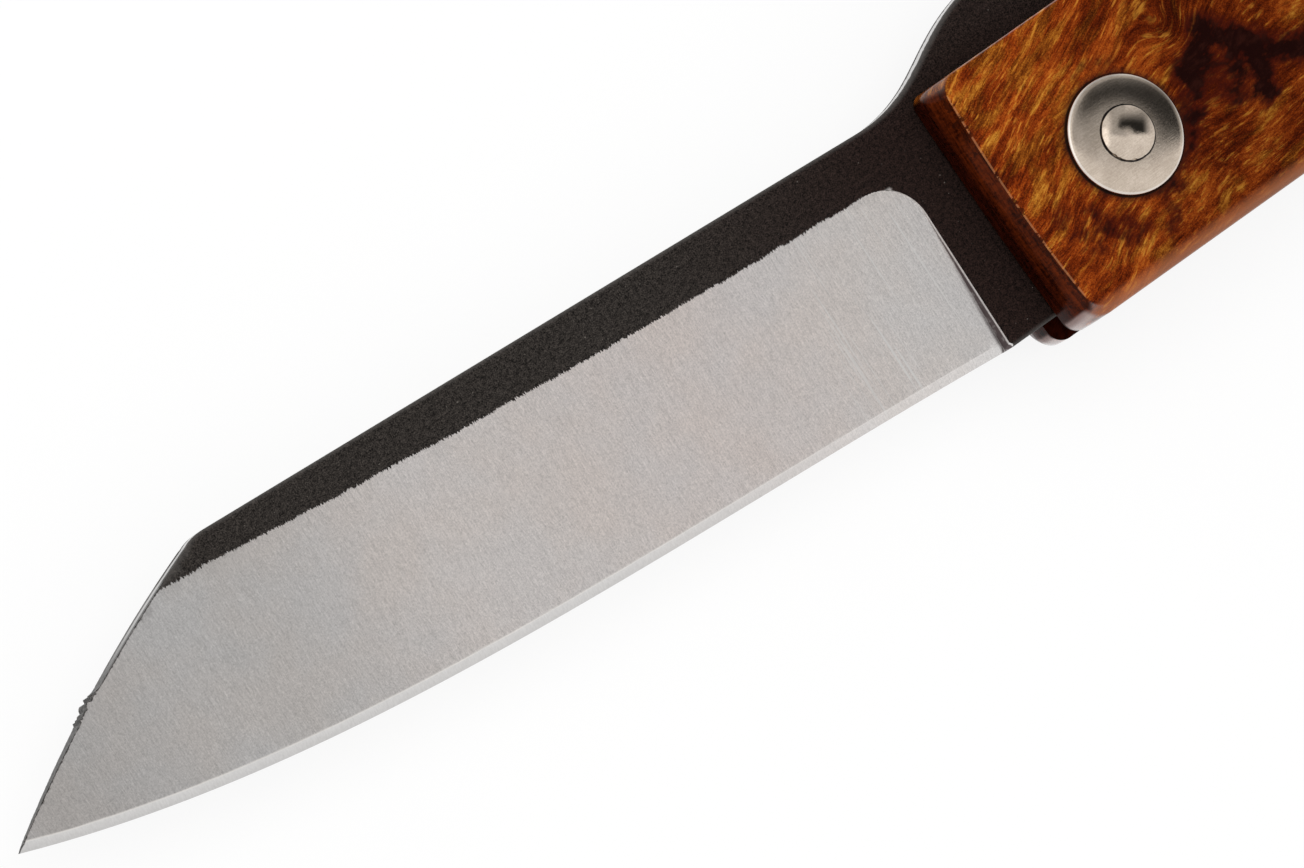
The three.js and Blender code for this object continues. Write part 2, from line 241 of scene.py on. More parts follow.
def distance_to_line(points: Rows, line: Rows) -> Rows:
    """Least distance from points to an open line of short pieces.

    Args:
        points: Rows of x, y.
        line: Rows of x, y along the line.

    Returns:
        One distance for each point.
    """
    starts, steps = line[:-1], np.diff(line, axis=0)
    lengths = np.maximum((steps**2).sum(1), 1e-12)
    least = np.full(len(points), np.inf)
    for start, step, length in zip(starts, steps, lengths):
        offset = points - start
        share = np.clip(offset @ step / length, 0.0, 1.0)
        gap = offset - share[:, None] * step
        least = np.minimum(least, (gap**2).sum(1))
    return np.sqrt(least)


def inside(points: Rows, loop: Rows) -> Rows:
    """Tell which points lie inside a closed loop.

    Args:
        points: Rows of x, y.
        loop: Rows of x, y round the loop.

    Returns:
        True for each point inside.
    """
    found = np.zeros(len(points), bool)
    for (x0, y0), (x1, y1) in zip(loop, np.roll(loop, -1, axis=0)):
        if y0 == y1:
            continue
        crosses = (points[:, 1] > y0) != (points[:, 1] > y1)
        found ^= crosses & (points[:, 0] < x0 + (points[:, 1] - y0) * (x1 - x0) / (y1 - y0))
    return found


def inset_line(line: Rows, loop: Rows, depth: float) -> list[Rows]:
    """Lines that run inside a loop at an even depth under one of its stretches.

    Args:
        line: The stretch of the loop, in the loop's clockwise order.
        loop: The whole loop.
        depth: How deep the new line lies.

    Returns:
        The unbroken parts of the new line.
    """
    moved = line + depth * right_hand(line)
    good = (distance_to_line(moved, closed(loop)) > 0.96 * depth) & inside(moved, loop)
    breaks = np.flatnonzero(np.diff(good.astype(int))) + 1
    runs = zip(np.split(moved, breaks), np.split(good, breaks))
    return [part for part, fits in runs if fits[0] and len(part) > 1]


@dataclass(frozen=True)
class Outline:
    """A closed outline, and the stretch that each of its places belongs to."""

    points: Rows
    zones: Sequence[Zone]

    def stretch(self, *wanted: Zone) -> Rows:
        """The places of some stretches, in order."""
        return self.points[np.array([zone in wanted for zone in self.zones])]


@dataclass
class Pen:
    """Draws a flat outline from short pieces.

    Attributes:
        step: Length of one short piece.
        zone: The stretch being drawn.
        points: Places drawn so far.
        zones: The stretch that each place belongs to.
    """

    step: float
    zone: Zone = Zone.TANG
    points: list[Rows] = field(default_factory=list)
    zones: list[Zone] = field(default_factory=list)

    def place(self, point: Sequence[float]) -> "Pen":
        """Add one place, unless it repeats the last one.

        Args:
            point: The place.

        Returns:
            The pen itself.
        """
        if not self.points or np.linalg.norm(self.points[-1] - point) >= SAME_PLACE:
            self.points.append(np.array(point, float))
            self.zones.append(self.zone)
        return self

    def line(self, end: Sequence[float]) -> "Pen":
        """Draw a straight stretch to a place.

        Args:
            end: Where the stretch ends.

        Returns:
            The pen itself.
        """
        start, goal = self.points[-1], np.array(end, float)
        count = max(1, round(np.linalg.norm(goal - start) / self.step))
        for i in range(1, count + 1):
            self.place(start + (goal - start) * i / count)
        return self

    def cubic(self, first: Sequence[float], second: Sequence[float], end: Sequence[float]) -> "Pen":
        """Draw a Bezier curve with two control places.

        Args:
            first: Control place near the start.
            second: Control place near the end.
            end: Where the curve ends.

        Returns:
            The pen itself.
        """
        corners = [self.points[-1], *(np.array(p, float) for p in (first, second, end))]
        length = sum(np.linalg.norm(b - a) for a, b in zip(corners, corners[1:]))
        count = max(4, round(length / self.step))
        for i in range(1, count + 1):
            t = i / count
            weights = ((1 - t) ** 3, 3 * t * (1 - t) ** 2, 3 * t * t * (1 - t), t**3)
            self.place(sum(w * c for w, c in zip(weights, corners)))
        return self

    def quadratic(self, control: Sequence[float], end: Sequence[float]) -> "Pen":
        """Draw a Bezier curve with one control place."""
        start, middle, goal = self.points[-1], np.array(control, float), np.array(end, float)
        return self.cubic(start + (middle - start) * 2 / 3, goal + (middle - goal) * 2 / 3, goal)

    def arc(self, radius: float, start_degrees: float, end_degrees: float) -> "Pen":
        """Draw an arc about the pivot axis.

        Args:
            radius: Its radius.
            start_degrees: Where it starts.
            end_degrees: Where it ends.

        Returns:
            The pen itself.
        """
        sweep = end_degrees - start_degrees
        count = max(4, round(abs(math.radians(sweep)) * radius / self.step))
        for i in range(1, count + 1):
            self.place(polar(radius, start_degrees + sweep * i / count))
        return self

    def corner(self, before: Rows, tip: Rows, after: Rows, radius: float) -> "Pen":
        """Draw up to a corner and round it.

        Args:
            before: Place that the outline comes from.
            tip: The sharp corner.
            after: Place that the outline goes to.
            radius: Length of the rounding along each side.

        Returns:
            The pen itself.
        """
        nearness = 0.4477  # control places of a Bezier curve that comes near a quarter circle
        into = (before - tip) / np.linalg.norm(before - tip)
        out = (after - tip) / np.linalg.norm(after - tip)
        self.line(tip + into * radius)
        return self.cubic(
            tip + into * radius * nearness, tip + out * radius * nearness, tip + out * radius
        )

    def outline(self) -> Outline:
        """Give what is drawn, without a repeated last place.

        Returns:
            The outline.
        """
        points = np.array(self.points)
        count = len(points) - int(np.linalg.norm(points[0] - points[-1]) < SAME_PLACE)
        return Outline(points[:count], self.zones[:count])


@dataclass
class Sheet:
    """A flat region cut into triangles.

    Attributes:
        points: Rows of x, y.
        triangles: Corner numbers, counterclockwise.
        loops: Point numbers round the outline and round each hole.
    """

    points: Rows
    triangles: Rows
    loops: list[list[int]]

    @classmethod
    def fill(
        cls, outline: Rows, holes: list[Rows], seams: list[Rows], spacing: float
    ) -> "Sheet":
        """Cut a region into even triangles.

        Args:
            outline: Rows of x, y round the region.
            holes: Loops that are left open.
            seams: Lines that edges of triangles have to follow.
            spacing: Usual length of a triangle's side.

        Returns:
            The cut region.
        """
        loops = [outline, *holes]
        lines = [*loops, *seams]
        firsts = np.cumsum([0, *map(len, lines)]).tolist()
        edges = []
        for i, (line, first) in enumerate(zip(lines, firsts)):
            steps = len(line) if i < len(loops) else len(line) - 1
            edges += [(first + k, first + (k + 1) % len(line)) for k in range(steps)]
        flat = np.vstack([*lines, cls._grid(outline, holes, seams, spacing)])
        cut = geometry.delaunay_2d_cdt([Vector(p) for p in flat], edges, [], 0, 1e-5)
        points = np.array([tuple(p) for p in cut[0]])
        triangles = np.array([tuple(t) for t in cut[2]])
        middles = points[triangles].mean(1)
        kept = inside(middles, outline)
        for hole in holes:
            kept &= ~inside(middles, hole)
        triangles = triangles[kept]
        a, b, c = (points[triangles[:, i]] for i in range(3))
        turn = (b - a)[:, 0] * (c - a)[:, 1] - (b - a)[:, 1] * (c - a)[:, 0]
        triangles[turn < 0] = triangles[turn < 0][:, ::-1]
        triangles = triangles[np.abs(turn) > 1e-9]
        home = {source: i for i, sources in enumerate(cut[3]) for source in sources}
        numbered = [[home[first + k] for k in range(len(loop))] for loop, first in zip(loops, firsts)]
        return cls(points, triangles, numbered)

    @staticmethod
    def _grid(
        outline: Rows, holes: list[Rows], seams: list[Rows], spacing: float
    ) -> Rows:
        """Free places inside a region, clear of its lines.

        Args:
            outline: Rows of x, y round the region.
            holes: Loops that are left open.
            seams: Lines to stay clear of.
            spacing: Distance between neighbours.

        Returns:
            Rows of x, y.
        """
        low, high = outline.min(0), outline.max(0)
        places = []
        for i, y in enumerate(np.arange(low[1] + spacing / 2, high[1], spacing * math.sqrt(3) / 2)):
            shift = spacing / 2 * (i % 2)
            xs = np.arange(low[0] + spacing / 2 + shift, high[0], spacing)
            places.append(np.column_stack([xs, np.full(len(xs), y)]))
        grid = np.vstack(places)
        grid = grid[inside(grid, outline)]
        for hole in holes:
            grid = grid[~inside(grid, hole)]
        for line in [closed(loop) for loop in (outline, *holes)] + seams:
            grid = grid[distance_to_line(grid, line) >= 0.45 * spacing]
        return grid


@dataclass
class Skin:
    """Faces of one piece, gathered before they become a mesh.

    Attributes:
        datum: Where the drawing stands.
        points: Blocks of rows of x, y, z in millimetres.
        faces: Corner numbers of each face.
    """

    datum: Datum
    points: list[Rows] = field(default_factory=list)
    faces: list[Sequence[int]] = field(default_factory=list)

    def row(self, places: Rows, heights: Union[float, Rows]) -> list[int]:
        """Add points.

        Args:
            places: Rows of x, y.
            heights: One z for all of them or for each.

        Returns:
            Their numbers.
        """
        first = sum(map(len, self.points))
        self.points.append(np.column_stack([places, np.broadcast_to(heights, len(places))]))
        return list(range(first, first + len(places)))

    def bridge(self, upper: Sequence[int], lower: Sequence[int]) -> None:
        """Join two rows that run round, either of which may repeat a single point.

        Args:
            upper: Point numbers of one row.
            lower: Point numbers of the other, in the same order.
        """
        for i, j in enumerate([*range(1, len(upper)), 0]):
            corners = tuple(dict.fromkeys((upper[i], upper[j], lower[j], lower[i])))
            if len(corners) > 2:
                self.faces.append(corners)

    def cap(self, sheet: Sheet, heights: Union[float, Rows], flip: bool = False) -> list[list[int]]:
        """Add a cut sheet at given heights.

        Args:
            sheet: The sheet.
            heights: One z for all of its points or for each.
            flip: True where it faces down.

        Returns:
            Point numbers round its outline and round each hole.
        """
        numbers = self.row(sheet.points, heights)
        triangles = sheet.triangles[:, ::-1] if flip else sheet.triangles
        self.faces += (triangles + numbers[0]).tolist()
        return [[numbers[i] for i in loop] for loop in sheet.loops]

    def mesh(
        self,
        name: str,
        sharp_degrees: float,
        notes: Optional[dict[str, Rule]] = None,
        crease: Optional[Rule] = None,
    ) -> bpy.types.Object:
        """Make the object.

        Args:
            name: Name of the piece.
            sharp_degrees: Edges that bend more than this stay sharp.
            notes: Rules from rows of x, y, z to what the finish reads at each point, by name.
            crease: Rule that tells which points lie on a crease that stays sharp.

        Returns:
            The new object, linked to the scene, with its faces turned outwards.
        """
        points = np.vstack(self.points)
        data = bpy.data.meshes.new(name)
        data.from_pydata(self.datum.place(points).tolist(), [], self.faces)
        for label, rule in (notes or {}).items():
            values = np.asarray(rule(points), np.float32)
            kind, key = ("FLOAT", "value") if values.ndim == 1 else ("FLOAT_VECTOR", "vector")
            data.attributes.new(label, kind, "POINT").data.foreach_set(key, values.ravel())
        data.validate()
        data.shade_smooth()
        data.set_sharp_from_angle(angle=math.radians(sharp_degrees))
        if crease is not None:
            sharp = crease(points)
            for edge in data.edges:
                first, second = edge.vertices
                edge.use_edge_sharp |= bool(sharp[first] and sharp[second])
        work = bmesh.new()
        work.from_mesh(data)
        bmesh.ops.recalc_face_normals(work, faces=work.faces)
        work.to_mesh(data)
        work.free()
        piece = bpy.data.objects.new(name, data)
        bpy.context.scene.collection.objects.link(piece)
        return piece


@dataclass(frozen=True)
class Clouds:
    """A cloudy pattern whose values lie between about 0.25 and 0.75.

    Attributes:
        scale: Clouds to a millimetre, or that along X, Y and Z.
        detail: How many finer layers.
        roughness: How strong the finer layers are.
        turn: Degrees by which it is turned about Z.
    """

    scale: Union[float, Triple]
    detail: float = 2.0
    roughness: float = 0.5
    shift: Triple = (0.0, 0.0, 0.0)
    turn: float = 0.0


class Value:
    """What a node gives, reckoned with by Python's own signs."""

    def __init__(self, graph: "Graph", socket: bpy.types.NodeSocket) -> None:
        """Hold a socket and the graph that it belongs to."""
        self.graph = graph
        self.socket = socket

    def __add__(self, other: Number) -> "Value":
        """Add a number."""
        return self.graph.math("ADD", self, other)

    def __sub__(self, other: Number) -> "Value":
        """Take a number away."""
        return self.graph.math("SUBTRACT", self, other)

    def __rsub__(self, other: float) -> "Value":
        """Take this away from a plain number."""
        return self.graph.math("SUBTRACT", other, self)

    def __mul__(self, other: Number) -> "Value":
        """Multiply by a number."""
        return self.graph.math("MULTIPLY", self, other)

    def __neg__(self) -> "Value":
        """Turn the sign."""
        return self * -1.0

    def __abs__(self) -> "Value":
        """Drop the sign."""
        return self.graph.math("ABSOLUTE", self)

    def larger(self, other: "Value") -> "Value":
        """The larger one of two values."""
        return self.graph.math("MAXIMUM", self, other)

    def rise(self, low: float, high: Number) -> "Value":
        """Rise softly from 0 to 1 between two values."""
        inputs = {"Value": self, "From Min": low, "From Max": high}
        return self.graph.value("ShaderNodeMapRange", inputs, interpolation_type="SMOOTHSTEP")

    def fall(self, low: float, high: float) -> "Value":
        """Fall softly from 1 to 0 between two values."""
        return 1.0 - self.rise(low, high)

    def window(self, rise: Point, fall: Point) -> "Value":
        """Rise softly from 0 to 1 in one range and fall again in a later one."""
        return self.rise(*rise) - self.rise(*fall)

    def swing(self, weight: float) -> "Value":
        """Swing a cloudy value about 0, by a weight."""
        return (self - 0.5) * weight


class Graph:
    """Short hand for drawing a node tree."""

    def __init__(self, owner: Union[bpy.types.Material, bpy.types.World]) -> None:
        """Start an empty tree.

        Args:
            owner: The new material or world that the tree belongs to.
        """
        owner.use_nodes = True
        self.owner = owner
        self.tree = owner.node_tree
        self.tree.nodes.clear()

    def add(self, kind: str, inputs: Optional[dict] = None, **settings: object) -> bpy.types.Node:
        """Add a node.

        Args:
            kind: Blender's name of the node.
            inputs: What goes into each named or numbered input.
            settings: Other properties of the node.

        Returns:
            The node.
        """
        node = self.tree.nodes.new(kind)
        for key, setting in settings.items():
            setattr(node, key, setting)
        for key, given in (inputs or {}).items():
            socket = node.inputs[key]
            if isinstance(given, Value):
                self.tree.links.new(given.socket, socket)
            else:
                socket.default_value = (*given, 1.0) if socket.type == "RGBA" else given
        return node

    def value(
        self, kind: str, inputs: Optional[dict] = None, output: Union[int, str] = 0, **settings: object
    ) -> Value:
        """Add a node and give one of its outputs."""
        return Value(self, self.add(kind, inputs, **settings).outputs[output])

    def math(self, kind: str, first: Number, second: Number = 0.0, clamp: bool = False) -> Value:
        """Reckon with two numbers, and hold the result between 0 and 1 where clamp is true."""
        return self.value("ShaderNodeMath", {0: first, 1: second}, operation=kind, use_clamp=clamp)

    def vector(
        self, kind: str, first: Value, second: Union[Value, Triple], output: str = "Vector"
    ) -> Value:
        """Reckon with two vectors."""
        return self.value("ShaderNodeVectorMath", {0: first, 1: second}, output, operation=kind)

    def scaled(self, vector: Value, scale: Triple, shift: Triple, turn: float = 0.0) -> Value:
        """Stretch a vector, turn it about Z by some degrees and move it."""
        inputs = {"Vector": vector, "Location": shift, "Rotation": (0.0, 0.0, math.radians(turn))}
        return self.value("ShaderNodeMapping", {**inputs, "Scale": scale})

    def clouds(self, pattern: Clouds, over: Value, output: str = "Fac") -> Value:
        """Lay a cloudy pattern over coordinates.

        Args:
            pattern: The pattern.
            over: The coordinates.
            output: "Fac" for a number, "Color" for three.

        Returns:
            The cloudy value.
        """
        scale = pattern.scale
        if isinstance(scale, tuple):
            over = self.scaled(over, scale, pattern.shift, pattern.turn)
            scale = 1.0
        inputs = {"Vector": over, "Scale": scale, "Detail": pattern.detail, "Roughness": pattern.roughness}
        return self.value("ShaderNodeTexNoise", inputs, output)

    def ramp(self, value: Value, stops: Stops, ease: str = "LINEAR") -> Value:
        """Turn a value into a colour.

        Args:
            value: Value between 0 and 1.
            stops: Places and their colours.
            ease: Blender's name of the way between stops.

        Returns:
            The colour.
        """
        node = self.add("ShaderNodeValToRGB", {"Fac": value})
        ramp = node.color_ramp
        ramp.interpolation = ease
        while len(ramp.elements) < len(stops):
            ramp.elements.new(0.5)
        for element, (place, colour) in zip(ramp.elements, stops):
            element.position = place
            element.color = (*colour, 1.0)
        return Value(self, node.outputs["Color"])

    def tones(self, value: Value, colours: Pair, low: float, high: float) -> Value:
        """Go from one colour to another while a value goes from low to high."""
        return self.ramp(value, ((low, colours[0]), (high, colours[1])))

    def mix(self, factor: Number, first: object, second: object, kind: str = "MIX") -> Value:
        """Mix two colours."""
        inputs = {0: factor, 6: first, 7: second}
        return self.value("ShaderNodeMix", inputs, 2, data_type="RGBA", blend_type=kind)

    def tint(self, first: Value, second: Value) -> Value:
        """Multiply two colours."""
        return self.mix(1.0, first, second, "MULTIPLY")

    def blend(self, factor: Number, first: Number, second: Number) -> Value:
        """Mix two numbers."""
        return self.value("ShaderNodeMix", {0: factor, 2: first, 3: second}, data_type="FLOAT")


class Surface(Graph):
    """Node tree of a finish on the knife, with places of the drawing at hand."""

    def __init__(self, name: str, datum: Datum) -> None:
        """Start an empty material.

        Args:
            name: Name of the material.
            datum: Where the drawing stands.
        """
        super().__init__(bpy.data.materials.new(name))
        self.datum = datum

    @cached_property
    def place(self) -> Value:
        """Place in the drawing frame, in millimetres."""
        coordinates = self.value("ShaderNodeTexCoord", output="Object")
        return self.scaled(coordinates, (1 / MM,) * 3, tuple(-self.datum.pivot / MM))

    @cached_property
    def x(self) -> Value:
        """Place along the knife, towards the butt."""
        return self.value("ShaderNodeSeparateXYZ", {0: self.place}, "X")

    @cached_property
    def y(self) -> Value:
        """Place across the knife, towards the handle's back."""
        return self.value("ShaderNodeSeparateXYZ", {0: self.place}, "Y")

    @cached_property
    def level(self) -> Value:
        """Distance from the middle plane."""
        return abs(self.value("ShaderNodeSeparateXYZ", {0: self.place}, "Z"))

    @cached_property
    def radius(self) -> Value:
        """Distance from the pivot axis."""
        return self.math("SQRT", self.x * self.x + self.y * self.y)

    def texture(self, pattern: Clouds) -> Value:
        """Lay a cloudy pattern over the drawing."""
        return self.clouds(pattern, self.place)

    def note(self, name: str, output: str = "Fac") -> Value:
        """Read what the mesh holds at each point."""
        return self.value("ShaderNodeAttribute", output=output, attribute_name=name)

    def bump(self, height: Value, depth: float) -> Value:
        """Turn a height between 0 and 1 into a bent normal, where 1 is a depth in millimetres."""
        return self.value("ShaderNodeBump", {"Height": height, "Distance": depth * MM, "Strength": 1.0})

    def finish(self, inputs: dict) -> bpy.types.Material:
        """Close the tree with a surface shader.

        Args:
            inputs: What goes into the shader's inputs.

        Returns:
            The material.
        """
        shader = self.value("ShaderNodeBsdfPrincipled", inputs)
        self.add("ShaderNodeOutputMaterial", {"Surface": shader})
        return self.owner


@dataclass(frozen=True)
class ForgedSteel:
    """Steel with a black forged skin, ground bright on its bevels and along its rims.

    Two colours run from dark to light.

    Attributes:
        ricasso: The smoother skin near the handle.
        worn: The skin where it is rubbed along the rounded edges, paler there also as a painted edge
            highlight.
        burnt: The burnt plunge wall, and the painted dark reflection of that wall in the grind's foot.
        tones: The ground steel, with its places along the blade.
        brush_tones: Factors of the brush lines. Warmth and honed_shade are factors too.
    """

    sizes: Sizes
    skin: Pair = ((0.0008, 0.0006, 0.0005), (0.060, 0.051, 0.045))
    ricasso: Pair = ((0.0010, 0.0005, 0.0004), (0.031, 0.0160, 0.0128))
    worn: Colour = (0.095, 0.088, 0.082)
    dust: Colour = (0.14, 0.125, 0.11)
    burnt: Colour = (0.05, 0.028, 0.03)
    burr: Pair = ((0.018, 0.0165, 0.015), (0.15, 0.142, 0.135))
    rim_steel: Colour = (0.66, 0.645, 0.635)
    clip_steel: Colour = (0.50, 0.49, 0.48)
    tones: Stops = (
        (-86.0, (0.503, 0.484, 0.473)),
        (-68.0, (0.620, 0.596, 0.582)),
        (-50.0, (0.790, 0.735, 0.708)),
        (-32.0, (0.808, 0.740, 0.712)),
        (-14.0, (0.812, 0.772, 0.750)),
    )
    brush_tones: Pair = ((0.62, 0.62, 0.62), (1.15, 1.15, 1.15))
    warmth: Pair = ((0.975, 0.99, 1.0), (1.0, 0.985, 0.97))
    scratch: Colour = (0.80, 0.78, 0.76)
    honed: Pair = ((0.66, 0.65, 0.64), (0.74, 0.73, 0.72))
    honed_shade: Pair = ((0.88, 0.88, 0.88), (1.0, 1.0, 1.0))
    honed_line: Colour = (0.86, 0.83, 0.79)
    skin_gloss: Point = (0.5, 0.7)
    steel_gloss: Point = (0.3, 0.44)
    relief: float = 0.006

    def material(self, datum: Datum) -> bpy.types.Material:
        """Draw the finish.

        Args:
            datum: Where the drawing stands.

        Returns:
            The material.
        """
        g = Surface("forged_steel", datum)
        wall = self._wall(g)
        bright = self._face(g).larger(wall.larger(self._side(g)))
        skin, grit = self._skin(g)
        steel, brushed = self._steel(g)
        # Burnt plunge wall, with a painted dark reflection of it in the grind's foot.
        steel = g.mix(self._wall_shade(g, wall), steel, self.burnt)
        rim = g.mix(g.note("clip").rise(0.6, 0.9), self.rim_steel, self.clip_steel)
        steel = g.mix(g.note("rim").rise(0.9, 0.97), steel, rim)
        rough = self._rough_clip(g)
        burr = g.tones(g.texture(Clouds(5.0, 3.0, 0.7)), self.burr, 0.44, 0.68)
        steel = g.mix(rough, steel, burr)
        gloss = g.blend(bright, g.blend(grit, *self.skin_gloss), g.blend(brushed, *self.steel_gloss))
        return g.finish(
            {
                "Base Color": g.mix(bright, skin, steel),
                "Metallic": bright * (1.0 - rough),
                "Roughness": gloss,
                "Normal": g.bump(g.blend(bright, grit * 3.0, brushed + rough * 2.0), self.relief),
                "Specular IOR Level": 0.07,
            }
        )

    @staticmethod
    def _face(g: Surface) -> Value:
        """Ground steel of the faces, with a fine comb of teeth along the spine's border.

        Args:
            g: The node tree.

        Returns:
            1 on the ground faces, 0 on the skin.
        """
        comb = g.texture(Clouds((8.0, 1.1, 1.0), 3.0, 0.7)) * 0.62
        fine = g.texture(Clouds((19.0, 3.0, 1.0), 2.0, 0.6)) * 0.34
        slow = g.texture(Clouds((0.55, 0.3, 1.0))) * 0.3
        teeth = comb + fine + slow - 0.63
        return (g.note("ground") + teeth * g.note("tooth")).rise(-0.015, 0.02)

    def _wall(self, g: Surface) -> Value:
        """The plunge wall, below the face of the stock and just outside the grind's foot."""
        close = (-g.note("grind")).rise(-0.03, -0.01) * g.note("grind").rise(-0.40, -0.36)
        return (self.sizes.stock_half - g.level).rise(0.02, 0.05) * close

    def _wall_shade(self, g: Surface, wall: Value) -> Value:
        """Burnt part of the plunge wall, and a painted dark reflection of the wall in the foot of the
        grind.

        Args:
            g: The node tree.
            wall: 1 on the plunge wall.

        Returns:
            Share of the burnt colour, which also paints the wall's dark reflection.
        """
        grind = g.note("grind")
        under_top = (self.sizes.stock_half - g.level).rise(0.14, 0.26)
        shade = (-grind).rise(-0.02, 0.03) * wall * under_top
        torn = g.texture(Clouds(1.6, 3.0, 0.6)).rise(0.3, 0.5)
        # Painted reflection: the dark wall mirrored in the grind's foot, stronger lower down towards the
        # heel.
        painted_reflection = grind.fall(0.0, 0.24) * (-grind).fall(-0.01, 0.01) * ((-g.y).rise(0.0, 6.5) * 0.7)
        return (shade * g.blend(torn, 0.6, 0.92)).larger(painted_reflection)

    @staticmethod
    def _side(g: Surface) -> Value:
        """Ground steel of the rim, between the black rounded edges."""
        torn = g.texture(Clouds(2.5, 3.0, 0.7)).swing(0.7)
        return g.note("rim").rise(0.9, 0.97) * (torn + 0.52 - g.level).rise(0.0, 0.2)

    @staticmethod
    def _rough_clip(g: Surface) -> Value:
        """Rough dark burr along the clip, all over its flank near the tip."""
        near = (g.note("clip") + g.texture(Clouds(3.0, 3.0, 0.75)).swing(0.6)).rise(0.62, 0.9)
        return near * g.level.rise(0.3, 0.55).larger(g.x.fall(-77.0, -71.0))

    def _skin(self, g: Surface) -> tuple[Value, Value]:
        """Draw the black skin.

        Args:
            g: The node tree.

        Returns:
            Its colour and its grit.
        """
        grit = g.texture(Clouds(3.4, 3.0, 0.8))
        speckle = g.texture(Clouds(10.5, 2.0, 0.85))
        both = grit * 0.35 + speckle * 0.65
        lever = g.y.rise(8.5, 12.0)
        near = g.x.rise(-36.0, -10.0) * g.blend(lever, 0.95, 0.7)
        colour = g.mix(near, g.tones(both, self.skin, 0.41, 0.64), g.tones(both, self.ricasso, 0.41, 0.64))
        # Paler skin over the rounded rims: partly wear, partly a painted edge highlight.
        rubbed = g.note("rim").rise(0.0, 1.0) * g.blend(grit, 0.3, 1.0)
        colour = g.mix(rubbed * 0.8, colour, self.worn)
        specks = g.texture(Clouds(5.5, 1.0)).rise(0.775, 0.80)
        return g.mix(specks * 0.8, colour, self.dust), grit

    def _steel(self, g: Surface) -> tuple[Value, Value]:
        """Draw the ground steel.

        Args:
            g: The node tree.

        Returns:
            Its colour and its brush lines.
        """
        first, last = self.tones[0][0], self.tones[-1][0]
        share = g.math("DIVIDE", g.x - first, last - first, clamp=True)
        steel = g.ramp(share, [((x - first) / (last - first), tone) for x, tone in self.tones], "EASE")
        lines = g.texture(Clouds((7.0, 0.6, 2.0), 4.0, 0.7)) * 0.22
        fine = g.texture(Clouds((16.0, 2.6, 6.0), 2.0, 0.7)) * 0.34
        grain = g.texture(Clouds(9.0, 2.0, 0.8)) * 0.44
        brushed = lines + fine + grain
        steel = g.tint(steel, g.tones(brushed, self.brush_tones, 0.34, 0.66))
        steel = g.tint(steel, g.tones(g.texture(Clouds(0.11, 3.0, 0.55)), self.warmth, 0.4, 0.6))
        steel = g.mix(self._scratches(g), steel, self.scratch)
        return self._honed_edge(g, steel), brushed

    def _honed_edge(self, g: Surface, steel: Value) -> Value:
        """Lay the lighter honed edge over the steel, weaker towards the heel.

        Args:
            g: The node tree.
            steel: Colour of the bevel.

        Returns:
            The colour with the honed edge.
        """
        width = self.sizes.honed_width
        away = g.note("edge") + g.texture(Clouds(0.4)).swing(0.12)
        lines = g.texture(Clouds((9.0, 3.0, 2.0), 3.0, 0.7))
        shade = g.tones(g.math("DIVIDE", away, width, clamp=True), self.honed_shade, 0.0, 0.8)
        honed = g.tint(g.tones(lines, self.honed, 0.35, 0.65), shade)
        fading = g.blend(g.x.rise(-45.0, -17.0), 1.0, 0.35)
        steel = g.mix(away.fall(width - 0.06, width + 0.04) * 0.85 * fading, steel, honed)
        # Painted highlight along the crease at the top of the honed edge.
        return g.mix(abs(away - width).fall(0.0, 0.1) * 0.6 * fading, steel, self.honed_line)

    @staticmethod
    def _scratches(g: Surface) -> Value:
        """Sparse fine scratches across the bevel, and a few long ones near the heel.

        Args:
            g: The node tree.

        Returns:
            Share of the scratches' colour.
        """
        long_ones = g.texture(Clouds((8.0, 0.07, 1.0), 0.0, turn=-5.0)).rise(0.715, 0.74)
        short = g.texture(Clouds((9.0, 0.45, 1.0), 1.0)).rise(0.72, 0.77)
        return (long_ones * g.x.rise(-26.0, -20.0) * 0.85).larger(short * 0.2)


